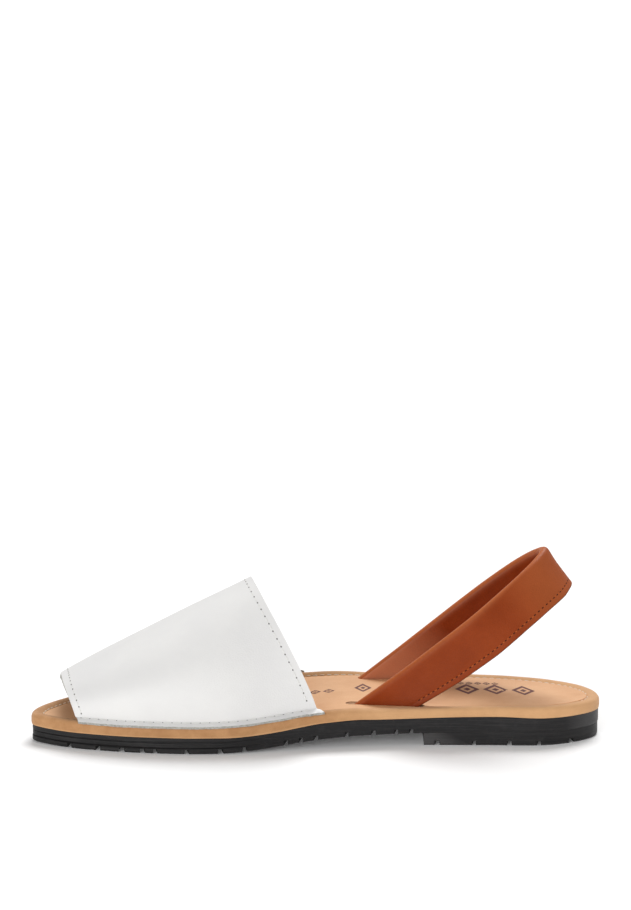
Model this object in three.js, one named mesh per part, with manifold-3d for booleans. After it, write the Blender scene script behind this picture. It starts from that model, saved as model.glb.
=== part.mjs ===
// Flat slingback sandal, right shoe, standing on its sole.
// Millimetres. +X runs from heel to toe, +Y to the inner side of the foot, +Z up.
// While it is built, X starts at the heel's tip and Z at the ground; the last lines centre it.

import * as THREE from 'three';
import { mergeVertices } from 'three/addons/utils/BufferGeometryUtils.js';
import Module from 'manifold-3d';

const wasm = await Module();
wasm.setup();

// Whole shoe
const SHOE_LENGTH = 256.2;
const BALL_WIDTH = 91;
const FIT_GAP = 0.3;

// Outsole
const BODY_THICKNESS = 7.25;
const HEEL_RISE = 6.2;
const HEEL_LENGTH = 79.7;
const HEEL_STEP_IN = 0.25;
const HEEL_JOIN_DEPTH = 1.5;
const EDGE_ROUND = 0.6;
const SIDE_GROOVE_DEPTH = 0.55;
const TREAD_WIDTH = 2.4;
const TREAD_DEPTH = 2.1;
const TREAD_ZIGZAG = 2.6;
const TREAD_TEETH = 7;

// Rand and insole
const RAND_HEIGHT = 5.2;
const RAND_WIDTH = 5.8;
const RAND_OVERHANG = 0.4;
const INSOLE_THICKNESS = 4.1;
const INSOLE_DISH = 0.4;
const INSOLE_SETTLE = 0.5;

// Vamp
const VAMP_WALL = 2;
const VAMP_FLANGE = 3.8;
const VAMP_FLANGE_THICKNESS = 1.2;
const VAMP_FLANGE_OVERHANG = 1.0;
const VAMP_FLANGE_DROP = 1.2;
const VAMP_FLANGE_FRONT_SETBACK = 2.6;
const VAMP_FLANGE_REAR_REACH = 3;
const VAMP_EDGE_ROLL = 0.25;
const VAMP_EDGE_SAG = 1.15;
const INSTEP_HEIGHT = 71.4;
const TOE_OPENING_HEIGHT = 27.5;

// Sling strap
const STRAP_WIDTH = 20.8;
const STRAP_ROLL = 4.4;
const STRAP_PITCH = THREE.MathUtils.degToRad(38.7);
const STRAP_FOOT_X = 109.3;
const STRAP_FOOT_Z = 16.7;
const STRAP_REACH = 107;
const STRAP_SINK = 1.8;
const SLOT_REAR_X = 79.4;
const SLOT_FRONT_X_INNER = 114.5;
const SLOT_FRONT_X_OUTER = 111.9;
const SLOT_FRONT_WIDTH = 5.6;
const SLOT_REAR_WIDTH = 4.0;

// Cutters and mesh
const CUT_BOX = 600;
const CUT_SPARE = 1;
const MERGE_DISTANCE = 0.001;
const TANGENT_STEP = 0.004;
const OUTLINE_STATIONS = 40;
const VAMP_ROWS = 20;
const VAMP_ARCH_STEPS = 30;
const STRAP_STEPS = 46;
const INSOLE_COLUMNS = 6;

// Outline seen from above. turn: 0 at the heel's tip, 1 at the toe's tip, in equal steps of a half
// turn. inner and outer: shares of the ball width, + to the inner side.
const OUTLINE = [
  { turn: 0.0, inner: 0.055, outer: 0.055 },
  { turn: 0.1, inner: 0.198, outer: -0.135 },
  { turn: 0.2, inner: 0.303, outer: -0.279 },
  { turn: 0.3, inner: 0.304, outer: -0.37 },
  { turn: 0.4, inner: 0.304, outer: -0.428 },
  { turn: 0.5, inner: 0.362, outer: -0.478 },
  { turn: 0.6, inner: 0.465, outer: -0.524 },
  { turn: 0.7, inner: 0.449, outer: -0.449 },
  { turn: 0.8, inner: 0.375, outer: -0.245 },
  { turn: 0.9, inner: 0.281, outer: 0.0 },
  { turn: 1.0, inner: 0.187, outer: 0.187 },
];

// Underside of the outsole's body. along: share of the shoe's length. rise: share of HEEL_RISE.
const UNDERSIDE = [
  { along: 0.0, rise: 1.0 },
  { along: 0.155, rise: 1.0 },
  { along: 0.302, rise: 0.9 },
  { along: 0.426, rise: 0.815 },
  { along: 0.475, rise: 0.7 },
  { along: 0.527, rise: 0.516 },
  { along: 0.566, rise: 0.33 },
  { along: 0.612, rise: 0.153 },
  { along: 0.66, rise: 0.048 },
  { along: 0.74, rise: 0.0 },
  { along: 0.915, rise: 0.0 },
  { along: 1.0, rise: 0.08 },
];

// Side of the outsole's body, from bottom to top. up: share of its thickness. groove: share of the
// groove's depth. round: share of the bottom edge's rounding.
const BODY_SIDE = [
  { up: 0.0, groove: 0, round: 1 },
  { up: 0.07, groove: 0, round: 0 },
  { up: 0.3, groove: 0, round: 0 },
  { up: 0.36, groove: 1, round: 0 },
  { up: 0.42, groove: 0.3, round: 0 },
  { up: 0.64, groove: 0.3, round: 0 },
  { up: 0.69, groove: 1, round: 0 },
  { up: 0.75, groove: 0.15, round: 0 },
  { up: 1.0, groove: 0.15, round: 0 },
];

// Share of the groove's depth along the shoe: sharp at the toe, gone under the arch.
const GROOVE_FADE = [
  { along: 0.0, depth: 0.0 },
  { along: 0.45, depth: 0.0 },
  { along: 0.8, depth: 1.0 },
  { along: 1.0, depth: 1.0 },
];

// Rolled section of the rand, from its outer foot over the crest to its inner foot.
// in: share of RAND_WIDTH from the rand's outer face. up: share of RAND_HEIGHT.
const RAND_SECTION = [
  { in: 0.04, up: 0.0 },
  { in: 0.0, up: 0.2 },
  { in: 0.0, up: 0.56 },
  { in: 0.07, up: 0.83 },
  { in: 0.22, up: 0.96 },
  { in: 0.44, up: 1.0 },
  { in: 0.66, up: 0.96 },
  { in: 0.85, up: 0.87 },
  { in: 1.0, up: 0.77 },
  { in: 1.0, up: 0.0 },
];

// Height of the rand along the shoe: low round the heel, full under the vamp. rise: share of
// RAND_HEIGHT.
const RAND_RISE = [
  { along: 0.0, rise: 0.79 },
  { along: 0.38, rise: 0.79 },
  { along: 0.482, rise: 1.0 },
  { along: 1.0, rise: 1.0 },
];

// Grooves across the tread. at: share of the shoe's length.
const TREAD_PLACES = [
  { at: 0.056 }, { at: 0.111 }, { at: 0.163 }, { at: 0.225 }, { at: 0.29 },
  { at: 0.335 }, { at: 0.361 }, { at: 0.4 }, { at: 0.446 }, { at: 0.498 }, { at: 0.523 },
  { at: 0.548 }, { at: 0.622 }, { at: 0.665 }, { at: 0.724 }, { at: 0.778 }, { at: 0.8 },
  { at: 0.835 }, { at: 0.876 }, { at: 0.93 },
];

// Where the vamp's two ends stand on the inner side, on the outer side and at the ridge. Shares of
// the shoe's length.
const VAMP_ENDS = {
  front: { inner: 0.9235, outer: 0.9387, ridge: 0.95 },
  rear: { inner: 0.4977, outer: 0.534, ridge: 0.6136 },
};

// Arch of the vamp from its front edge to its rear edge. back: share of the way. squareness:
// exponent of the arch, 2 is an ellipse. lean: place of the ridge, share of the ball width.
const VAMP_ARCH = [
  { back: 0.0, squareness: 2.4, lean: 0.09 },
  { back: 0.35, squareness: 2.2, lean: 0.07 },
  { back: 0.7, squareness: 2.2, lean: 0.04 },
  { back: 1.0, squareness: 2.2, lean: 0.025 },
];

// Sling loop in its own sloping plane, from the inner foot round the heel to the outer foot.
// up: share of STRAP_REACH. across: share of the ball width. width, ahead: shares of STRAP_WIDTH,
// ahead shifts a row towards the toe. lean: how far the strap tilts to the inner side, share of
// its width. The rows below 0 lie under the footbed.
const STRAP_PATH = [
  { up: -0.3, across: 0.13, width: 0.8, ahead: 0.02, lean: 0.17 },
  { up: 0.0, across: 0.157, width: 0.8, ahead: 0.02, lean: 0.17 },
  { up: 0.2, across: 0.19, width: 0.84, ahead: 0.0, lean: 0.17 },
  { up: 0.4, across: 0.204, width: 0.94, ahead: 0.0, lean: 0.12 },
  { up: 0.6, across: 0.203, width: 0.99, ahead: 0.0, lean: 0.08 },
  { up: 0.75, across: 0.159, width: 0.98, ahead: 0.0, lean: 0.19 },
  { up: 0.87, across: 0.103, width: 0.97, ahead: 0.0, lean: 0.26 },
  { up: 0.955, across: 0.032, width: 0.99, ahead: 0.0, lean: 0.19 },
  { up: 0.998, across: -0.062, width: 1.0, ahead: 0.0, lean: 0.06 },
  { up: 0.955, across: -0.156, width: 1.0, ahead: 0.0, lean: 0.0 },
  { up: 0.87, across: -0.2345, width: 1.0, ahead: 0.0, lean: 0.0 },
  { up: 0.72, across: -0.288, width: 1.0, ahead: 0.0, lean: 0.0 },
  { up: 0.55, across: -0.312, width: 1.0, ahead: -0.012, lean: 0.0 },
  { up: 0.4, across: -0.323, width: 0.95, ahead: -0.03, lean: 0.0 },
  { up: 0.2, across: -0.336, width: 0.84, ahead: -0.052, lean: 0.0 },
  { up: 0.0, across: -0.345, width: 0.8, ahead: -0.055, lean: 0.0 },
  { up: -0.3, across: -0.345, width: 0.8, ahead: -0.055, lean: 0.0 },
];

// Folded section of the strap. down: share of its width from the rolled edge. half: share of half
// the roll's thickness.
const STRAP_SECTION = [
  { down: 0.0, half: 0.35 },
  { down: 0.035, half: 0.82 },
  { down: 0.1, half: 1.0 },
  { down: 0.2, half: 0.92 },
  { down: 0.45, half: 0.66 },
  { down: 0.84, half: 0.58 },
  { down: 1.0, half: 0.5 },
];

// Reads a table at any place between its rows, as a smooth curve through them. limited keeps the
// curve from swinging past a row, so that a flat stretch stays flat.
function readTable(table, by, key, at, limited = false) {
  const last = table.length - 1;
  const place = THREE.MathUtils.clamp(at, table[0][by], table[last][by]);
  let row = 0;
  while (row < last - 1 && place > table[row + 1][by]) row += 1;
  const span = table[row + 1][by] - table[row][by];
  const rise = (i) => (table[i + 1][key] - table[i][key]) / (table[i + 1][by] - table[i][by]);
  const slope = (i) => {
    if (i === 0) return rise(0);
    if (i === last) return rise(last - 1);
    const before = rise(i - 1);
    const after = rise(i);
    if (!limited) return (before + after) / 2;
    return before * after > 0 ? (2 * before * after) / (before + after) : 0;
  };
  const t = (place - table[row][by]) / span;
  const smooth = 3 * t ** 2 - 2 * t ** 3;
  const value = THREE.MathUtils.lerp(table[row][key], table[row + 1][key], smooth);
  const bend = slope(row) * (t ** 3 - 2 * t ** 2 + t) + slope(row + 1) * (t ** 3 - t ** 2);
  return value + span * bend;
}

// The outline is closed, so each side's curve goes on past the tips into the other side.
function mirroredRows(side, other) {
  const rows = OUTLINE.map((row) => ({ turn: row.turn, share: row[side] }));
  const first = OUTLINE[1];
  const beforeLast = OUTLINE[OUTLINE.length - 2];
  rows.unshift({ turn: -first.turn, share: first[other] });
  rows.push({ turn: 2 - beforeLast.turn, share: beforeLast[other] });
  return rows;
}

const SIDES = {
  inner: { sign: 1, rows: mirroredRows('inner', 'outer') },
  outer: { sign: -1, rows: mirroredRows('outer', 'inner') },
};

function turnAt(x) {
  return Math.acos(THREE.MathUtils.clamp(1 - (2 * x) / SHOE_LENGTH, -1, 1)) / Math.PI;
}

function edgePoint(side, turn) {
  const x = (SHOE_LENGTH * (1 - Math.cos(Math.PI * turn))) / 2;
  return new THREE.Vector2(x, BALL_WIDTH * readTable(SIDES[side].rows, 'turn', 'share', turn));
}

// Point of the outline moved inwards along its own normal.
function insetPoint(side, turn, inset) {
  const before = edgePoint(side, turn - TANGENT_STEP);
  const tangent = edgePoint(side, turn + TANGENT_STEP).sub(before).normalize();
  const inward = new THREE.Vector2(tangent.y, -tangent.x).multiplyScalar(SIDES[side].sign);
  return edgePoint(side, turn).addScaledVector(inward, inset);
}

const shareOfLength = (x) => THREE.MathUtils.clamp(x / SHOE_LENGTH, 0, 1);
const bodyBottom = (x) => HEEL_RISE * readTable(UNDERSIDE, 'along', 'rise', shareOfLength(x), true);
const bodyTop = (x) => bodyBottom(x) + BODY_THICKNESS;

// One ring round the shoe: the inner side from heel to toe, then the outer side back.
function outlineRing(inset) {
  const ring = [];
  for (let i = 0; i <= OUTLINE_STATIONS; i += 1) {
    const turn = i / OUTLINE_STATIONS;
    const at = typeof inset === 'function' ? inset(edgePoint('inner', turn).x) : inset;
    ring.push(insetPoint('inner', turn, at));
  }
  for (let i = OUTLINE_STATIONS - 1; i >= 1; i -= 1) {
    const turn = i / OUTLINE_STATIONS;
    const at = typeof inset === 'function' ? inset(edgePoint('outer', turn).x) : inset;
    ring.push(insetPoint('outer', turn, at));
  }
  return ring;
}

// Closed geometry from a grid of points: rows of equal length, joined round and along as asked.
class GridSurface {
  constructor() {
    this.positions = [];
    this.indices = [];
  }

  addRow(points) {
    const start = this.positions.length / 3;
    points.forEach((p) => this.positions.push(p.x, p.y, p.z));
    return points.map((_, i) => start + i);
  }

  joinRows(lower, upper, closed) {
    const count = closed ? lower.length : lower.length - 1;
    for (let i = 0; i < count; i += 1) {
      const next = (i + 1) % lower.length;
      this.indices.push(lower[i], upper[next], lower[next], lower[i], upper[i], upper[next]);
    }
  }

  fan(ring) {
    for (let i = 1; i < ring.length - 1; i += 1) this.indices.push(ring[0], ring[i], ring[i + 1]);
  }

  // Cap of a thin wall's section: a strip between its outer face and its inner face.
  edgeStrip(row) {
    const count = row.length;
    for (let i = 0; i < count / 2 - 1; i += 1) {
      const [a, b, c, d] = [row[i], row[i + 1], row[count - 2 - i], row[count - 1 - i]];
      this.indices.push(a, b, c, a, c, d);
    }
  }

  // Cap of an outline ring: a strip between its two sides, station by station.
  cap(ring, upwards) {
    const count = ring.length;
    const half = count / 2;
    for (let i = 0; i < half; i += 1) {
      const a = ring[i];
      const b = ring[i + 1];
      const c = ring[(count - i) % count];
      const d = ring[count - i - 1];
      const faces = i === 0 ? [a, d, b] : [a, d, b, a, c, d];
      const whole = i === half - 1 ? [a, c, b] : faces;
      if (upwards) this.indices.push(...whole);
      else this.indices.push(...whole.reverse());
    }
  }

  geometry() {
    const made = new THREE.BufferGeometry();
    made.setAttribute('position', new THREE.Float32BufferAttribute(this.positions, 3));
    made.setIndex(this.indices);
    return outwards(made);
  }
}

// Six times the volume that the faces enclose, negative when they point inwards.
function signedVolume(geometry) {
  const p = geometry.attributes.position;
  const index = geometry.index.array;
  const [a, b, c] = [new THREE.Vector3(), new THREE.Vector3(), new THREE.Vector3()];
  let total = 0;
  for (let i = 0; i < index.length; i += 3) {
    a.fromBufferAttribute(p, index[i]);
    b.fromBufferAttribute(p, index[i + 1]);
    c.fromBufferAttribute(p, index[i + 2]);
    total += a.dot(b.cross(c));
  }
  return total;
}

function outwards(geometry) {
  if (signedVolume(geometry) < 0) geometry.index.array.reverse();
  return geometry;
}

function toSolid(geometry) {
  const bare = geometry.clone();
  bare.deleteAttribute('normal');
  bare.deleteAttribute('uv');
  const merged = mergeVertices(bare, MERGE_DISTANCE);
  const solid = new wasm.Mesh({
    numProp: 3,
    vertProperties: new Float32Array(merged.attributes.position.array),
    triVerts: new Uint32Array(merged.index.array),
  });
  return new wasm.Manifold(solid);
}

function toGeometry(solid) {
  const mesh = solid.getMesh();
  const made = new THREE.BufferGeometry();
  made.setAttribute('position', new THREE.BufferAttribute(new Float32Array(mesh.vertProperties), 3));
  made.setIndex(new THREE.BufferAttribute(new Uint32Array(mesh.triVerts), 1));
  return made;
}

// Stack of outline rings. Each level gives its inset and its height, both from the place along X.
function outlineStack(levels) {
  const surface = new GridSurface();
  const rings = levels.map(({ inset, height }) => {
    const points = outlineRing(inset).map((p) => new THREE.Vector3(p.x, p.y, height(p.x)));
    return surface.addRow(points);
  });
  for (let i = 1; i < rings.length; i += 1) surface.joinRows(rings[i - 1], rings[i], true);
  surface.cap(rings[0], false);
  surface.cap(rings[rings.length - 1], true);
  return surface.geometry();
}

function outsoleBody() {
  const fade = (x) => readTable(GROOVE_FADE, 'along', 'depth', shareOfLength(x), true);
  const levels = BODY_SIDE.map(({ up, groove, round }) => ({
    inset: (x) => SIDE_GROOVE_DEPTH * groove * fade(x) + EDGE_ROUND * round,
    height: (x) => bodyBottom(x) + BODY_THICKNESS * up,
  }));
  return outlineStack(levels);
}

// Heel block, cut square at the breast. It reaches a little into the body, where both are joined.
function heelBlock() {
  const levels = [
    { inset: HEEL_STEP_IN + EDGE_ROUND, height: () => 0 },
    { inset: HEEL_STEP_IN, height: () => EDGE_ROUND },
    { inset: HEEL_STEP_IN, height: () => HEEL_RISE + HEEL_JOIN_DEPTH },
  ];
  const whole = toSolid(outlineStack(levels));
  const cutter = new THREE.BoxGeometry(CUT_BOX, CUT_BOX, CUT_BOX);
  cutter.translate(HEEL_LENGTH + CUT_BOX / 2, 0, 0);
  return whole.subtract(toSolid(cutter));
}

// One zigzag groove across the tread, cut from below to its depth above the sole at that place.
function treadGroove(x, floor) {
  const half = BALL_WIDTH / 2 + TREAD_ZIGZAG * 2;
  const front = [];
  const rear = [];
  for (let i = 0; i <= TREAD_TEETH; i += 1) {
    const y = -half + (2 * half * i) / TREAD_TEETH;
    const shift = (i % 2 === 0 ? 0.5 : -0.5) * TREAD_ZIGZAG;
    front.push(new THREE.Vector2(x + shift + TREAD_WIDTH / 2, y));
    rear.unshift(new THREE.Vector2(x + shift - TREAD_WIDTH / 2, y));
  }
  const groove = new THREE.ExtrudeGeometry(new THREE.Shape([...front, ...rear]), {
    depth: floor + TREAD_DEPTH + CUT_SPARE,
    bevelEnabled: false,
  });
  groove.translate(0, 0, -CUT_SPARE);
  return toSolid(groove);
}

function makeOutsole() {
  let solid = toSolid(outsoleBody()).add(heelBlock());
  for (const { at } of TREAD_PLACES) {
    const x = at * SHOE_LENGTH;
    solid = solid.subtract(treadGroove(x, x < HEEL_LENGTH ? 0 : bodyBottom(x)));
  }
  return toGeometry(solid);
}

function makeRand() {
  const surface = new GridSurface();
  const rings = RAND_SECTION.map((row) => {
    const inset = row.in * RAND_WIDTH - RAND_OVERHANG;
    const points = outlineRing(inset);
    return surface.addRow(points.map((p) => {
      const seat = bodyTop(p.x) + FIT_GAP;
      return new THREE.Vector3(p.x, p.y, seat + RAND_HEIGHT * randRise(p.x) * row.up);
    }));
  });
  rings.forEach((ring, i) => surface.joinRows(ring, rings[(i + 1) % rings.length], true));
  return surface.geometry();
}

// Share of the rand's full height at a distance from the heel's tip.
function randRise(x) {
  return readTable(RAND_RISE, 'along', 'rise', x / SHOE_LENGTH, true);
}

// Sock plate inside the rand, hollowed a little for the foot, with the strap's two slots cut out.
function makeInsole() {
  const surface = new GridSurface();
  const inset = RAND_WIDTH - RAND_OVERHANG + FIT_GAP;
  const rowAt = (i, top) => {
    const turn = THREE.MathUtils.clamp(i / OUTLINE_STATIONS, 0, 1);
    const from = insetPoint('inner', turn, inset);
    const to = insetPoint('outer', turn, inset);
    const points = [];
    for (let j = 0; j <= INSOLE_COLUMNS; j += 1) {
      const share = j / INSOLE_COLUMNS;
      const p = from.clone().lerp(to, share);
      const dish = INSOLE_DISH * Math.sin(Math.PI * share) * Math.sin(Math.PI * turn);
      const thickness = INSOLE_THICKNESS * THREE.MathUtils.lerp(1, randRise(p.x), INSOLE_SETTLE);
      const height = top ? thickness - dish : 0;
      points.push(new THREE.Vector3(p.x, p.y, bodyTop(p.x) + FIT_GAP + height));
    }
    return points;
  };
  const rows = [];
  for (let i = 0; i <= OUTLINE_STATIONS; i += 1) {
    const upper = rowAt(i, true);
    const lower = rowAt(i, false).reverse();
    rows.push(surface.addRow([...upper, ...lower]));
  }
  for (let i = 1; i < rows.length; i += 1) surface.joinRows(rows[i - 1], rows[i], true);
  const plate = toSolid(surface.geometry());
  return toGeometry(plate.subtract(slotCutter('inner')).subtract(slotCutter('outer')));
}

// Slot that follows the strap's foot, from the row where its rolled edge enters the footbed to the
// next row up, where its lower edge does.
function slotCutter(side) {
  const leg = STRAP_PATH.filter((row) => row.across * SIDES[side].sign > 0 && row.up >= 0);
  const [rolled, lower] = leg.sort((a, b) => a.up - b.up);
  const frontFoot = strapPlace(rolled);
  const rearFoot = strapPlace(lower).addScaledVector(strapDown(lower), lower.width * STRAP_WIDTH);
  const line = rearFoot.sub(frontFoot);
  const onLine = (x) => new THREE.Vector2(
    x,
    frontFoot.y + (line.y * (x - frontFoot.x)) / line.x,
  );
  const front = onLine(side === 'inner' ? SLOT_FRONT_X_INNER : SLOT_FRONT_X_OUTER);
  const rear = onLine(SLOT_REAR_X);
  const half = front.distanceTo(rear) / 2;
  const frontRound = SLOT_FRONT_WIDTH / 2;
  const rearRound = SLOT_REAR_WIDTH / 2;
  const shape = new THREE.Shape();
  shape.absarc(rearRound - half, 0, rearRound, Math.PI / 2, (3 * Math.PI) / 2);
  shape.absarc(half - frontRound, 0, frontRound, -Math.PI / 2, Math.PI / 2);
  const depth = BODY_THICKNESS + RAND_HEIGHT;
  const slot = new THREE.ExtrudeGeometry(shape, { depth, bevelEnabled: false, curveSegments: 5 });
  const middle = front.clone().add(rear).multiplyScalar(0.5);
  slot.rotateZ(front.sub(rear).angle());
  slot.translate(middle.x, middle.y, bodyTop(SLOT_FRONT_X_INNER) - FIT_GAP);
  return toSolid(slot);
}

// Signed power of a cosine or sine, which squares up an ellipse.
function squared(value, exponent) {
  return Math.sign(value) * Math.abs(value) ** (2 / exponent);
}

// Point on the rand under the vamp, at a distance in from the outline.
function vampFoot(side, x, inset, up) {
  const p = insetPoint(side, turnAt(x), inset);
  return new THREE.Vector3(p.x, p.y, bodyTop(p.x) + RAND_HEIGHT + 2 * FIT_GAP + up);
}

// Section of the vamp, outer face or inner face: flange, arch over the foot, flange. Its points
// move back with their height above the foot, so that both ends of the vamp are cut along planes.
function vampRow(back, inside) {
  const lerp = THREE.MathUtils.lerp;
  const squareness = readTable(VAMP_ARCH, 'back', 'squareness', back);
  const along = (key) => SHOE_LENGTH * lerp(VAMP_ENDS.front[key], VAMP_ENDS.rear[key], back);
  const ridgeRun = SHOE_LENGTH * (VAMP_ENDS.front.ridge - VAMP_ENDS.rear.ridge);
  const ridgeSlope = Math.atan2(INSTEP_HEIGHT - TOE_OPENING_HEIGHT, ridgeRun);
  const drop = inside ? VAMP_WALL / Math.cos(ridgeSlope) : 0;
  const ridge = new THREE.Vector3(
    along('ridge'),
    BALL_WIDTH * readTable(VAMP_ARCH, 'back', 'lean', back),
    lerp(TOE_OPENING_HEIGHT, INSTEP_HEIGHT, back) - drop,
  );
  const crease = VAMP_FLANGE - VAMP_FLANGE_OVERHANG;
  const archInset = inside ? crease + VAMP_WALL : crease;
  const up = inside ? 0 : VAMP_FLANGE_THICKNESS;
  const side = (name) => {
    const x = along(name);
    const tipX = x - lerp(VAMP_FLANGE_FRONT_SETBACK, VAMP_FLANGE_REAR_REACH, back);
    return {
      tip: vampFoot(name, tipX, -VAMP_FLANGE_OVERHANG, up - VAMP_FLANGE_DROP),
      mid: vampFoot(name, (x + tipX) / 2, crease / 2, up),
      arch: vampFoot(name, x, archInset, up),
    };
  };
  const near = side('inner');
  const far = side('outer');
  const middle = near.arch.clone().add(far.arch).multiplyScalar(0.5);
  const halfSpan = near.arch.clone().sub(far.arch).multiplyScalar(0.5);
  const rise = ridge.clone().sub(middle);
  const points = [near.tip, near.mid];
  for (let i = 0; i <= VAMP_ARCH_STEPS; i += 1) {
    const angle = (Math.PI * i) / VAMP_ARCH_STEPS;
    const p = middle.clone();
    p.addScaledVector(halfSpan, squared(Math.cos(angle), squareness));
    p.addScaledVector(rise, squared(Math.sin(angle), squareness));
    const foot = Math.cos(angle) > 0 ? near.arch : far.arch;
    const cutHeight = (point) => point.z - foot.z + VAMP_EDGE_ROLL * (foot.y - point.y);
    const share = Math.max(cutHeight(p), 0) / cutHeight(ridge);
    p.x = lerp(foot.x, ridge.x, share ** VAMP_EDGE_SAG);
    points.push(p);
  }
  points.push(far.mid, far.tip);
  return points;
}

function makeVamp() {
  const surface = new GridSurface();
  const rows = [];
  for (let i = 0; i <= VAMP_ROWS; i += 1) {
    const back = i / VAMP_ROWS;
    rows.push(surface.addRow([...vampRow(back, false), ...vampRow(back, true).reverse()]));
  }
  for (let i = 1; i < rows.length; i += 1) surface.joinRows(rows[i - 1], rows[i], true);
  surface.edgeStrip(rows[0]);
  surface.edgeStrip([...rows[rows.length - 1]].reverse());
  return surface.geometry();
}

// Points of the strap's section at one place of its loop.
function strapSection(centre, outward, down, width) {
  const at = (row, side) => centre.clone()
    .addScaledVector(down, row.down * width)
    .addScaledVector(outward, (side * row.half * STRAP_ROLL) / 2);
  const front = STRAP_SECTION.map((row) => at(row, 1));
  const back = STRAP_SECTION.map((row) => at(row, -1)).reverse();
  return [...front, ...back];
}

// Place of the strap's rolled edge in one row of its path.
function strapPlace(row) {
  const slope = new THREE.Vector3(-Math.cos(STRAP_PITCH), 0, Math.sin(STRAP_PITCH));
  const shift = new THREE.Vector3(row.ahead * STRAP_WIDTH, BALL_WIDTH * row.across, 0);
  return new THREE.Vector3(STRAP_FOOT_X, 0, STRAP_FOOT_Z)
    .addScaledVector(slope, row.up * STRAP_REACH)
    .add(shift);
}

// Direction from the strap's rolled edge to its lower edge.
function strapDown({ lean }) {
  return new THREE.Vector3(-Math.sin(STRAP_PITCH), lean, -Math.cos(STRAP_PITCH));
}

function makeStrap() {
  const loop = new THREE.CatmullRomCurve3(STRAP_PATH.map(strapPlace), false, 'centripetal');
  const surface = new GridSurface();
  const rows = [];
  for (let i = 0; i <= STRAP_STEPS; i += 1) {
    const t = i / STRAP_STEPS;
    const centre = loop.getPoint(t);
    const tangent = loop.getTangent(t);
    const row = t * (STRAP_PATH.length - 1);
    const from = STRAP_PATH[Math.floor(row)];
    const to = STRAP_PATH[Math.min(Math.floor(row) + 1, STRAP_PATH.length - 1)];
    const share = THREE.MathUtils.lerp(from.width, to.width, row - Math.floor(row));
    const down = strapDown(from).lerp(strapDown(to), row - Math.floor(row));
    const outward = new THREE.Vector3().crossVectors(tangent, down).normalize();
    rows.push(surface.addRow(strapSection(centre, outward, down, share * STRAP_WIDTH)));
  }
  for (let i = 1; i < rows.length; i += 1) surface.joinRows(rows[i - 1], rows[i], true);
  surface.fan(rows[0]);
  surface.fan([...rows[rows.length - 1]].reverse());
  const whole = toSolid(surface.geometry());
  const below = new THREE.BoxGeometry(CUT_BOX, CUT_BOX, CUT_BOX);
  below.translate(0, 0, STRAP_FOOT_Z - STRAP_SINK - CUT_BOX / 2);
  return toGeometry(whole.subtract(toSolid(below)));
}

const FINISHES = {
  rubber: new THREE.MeshStandardMaterial({ color: 0x27272a, roughness: 0.7, metalness: 0 }),
  nubuck: new THREE.MeshStandardMaterial({ color: 0xd3a679, roughness: 0.9, metalness: 0 }),
  sock: new THREE.MeshStandardMaterial({ color: 0xe2b594, roughness: 0.75, metalness: 0 }),
  white: new THREE.MeshStandardMaterial({ color: 0xeceae8, roughness: 0.5, metalness: 0 }),
  cognac: new THREE.MeshStandardMaterial({ color: 0x964826, roughness: 0.5, metalness: 0 }),
};

const PIECES = [
  { name: 'outsole', geometry: makeOutsole(), finish: FINISHES.rubber },
  { name: 'rand', geometry: makeRand(), finish: FINISHES.nubuck },
  { name: 'insole', geometry: makeInsole(), finish: FINISHES.sock },
  { name: 'vamp', geometry: makeVamp(), finish: FINISHES.white },
  { name: 'sling_strap', geometry: makeStrap(), finish: FINISHES.cognac },
];

const shoe = new THREE.Group();
for (const { name, geometry, finish } of PIECES) {
  const piece = new THREE.Mesh(geometry, finish);
  piece.name = name;
  shoe.add(piece);
}

// The origin is the bottom centre of the whole shoe's box.
const box = new THREE.Box3().setFromObject(shoe, true);
shoe.position.set(-(box.min.x + box.max.x) / 2, -(box.min.y + box.max.y) / 2, -box.min.z);

const sandal = new THREE.Group();
sandal.add(shoe);

export default sandal;
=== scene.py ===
"""Flat slingback sandal, right shoe, dressed for a studio picture.

Shapes are worked out in millimetres, with X measured from the tip of the heel towards the toe, Y
towards the inner side of the foot and Z up from the ground. Every mesh is stored in metres in the
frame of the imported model.
"""

import logging
import math
import random
from bisect import bisect_left
from collections.abc import Callable, Iterable, Sequence
from dataclasses import dataclass
from enum import Enum

import bmesh
import bpy
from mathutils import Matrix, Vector, noise

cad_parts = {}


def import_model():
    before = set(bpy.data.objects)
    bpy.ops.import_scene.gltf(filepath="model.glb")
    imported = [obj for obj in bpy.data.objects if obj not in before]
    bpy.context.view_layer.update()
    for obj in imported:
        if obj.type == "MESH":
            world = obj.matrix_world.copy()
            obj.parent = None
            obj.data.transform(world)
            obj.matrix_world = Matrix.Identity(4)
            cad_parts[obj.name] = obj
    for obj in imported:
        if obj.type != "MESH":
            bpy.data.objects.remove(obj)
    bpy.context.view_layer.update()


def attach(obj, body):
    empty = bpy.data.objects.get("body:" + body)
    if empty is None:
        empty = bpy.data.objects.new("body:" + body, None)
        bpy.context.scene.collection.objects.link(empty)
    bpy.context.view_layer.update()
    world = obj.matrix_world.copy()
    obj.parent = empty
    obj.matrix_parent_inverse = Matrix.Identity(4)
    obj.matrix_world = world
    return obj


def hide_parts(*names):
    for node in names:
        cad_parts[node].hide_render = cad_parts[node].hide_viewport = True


LOG = logging.getLogger("sandal")

MM = 0.001
HEEL_TO_CENTRE = 128.1
AXIS_TO_CENTRE = 2.4434
MERGE_DISTANCE = 1e-6
BODY = "root"
# Angle in degrees over which an edge stays sharp: on cut rubber and cutters, on most pieces, and
# on folded leather.
SHARP_CUT = 30.0
SHARP_USUAL = 40.0
SHARP_FOLD = 50.0

Colour = tuple[float, float, float, float]
Level = Callable[[float], float]
Finishes = dict[str, bpy.types.Material]
# A point with a direction: inwards from an outline, or away from a face.
Place = tuple[Vector, Vector]


class Side(Enum):
    """Side of the foot."""

    INNER = 1
    OUTER = -1


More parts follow.
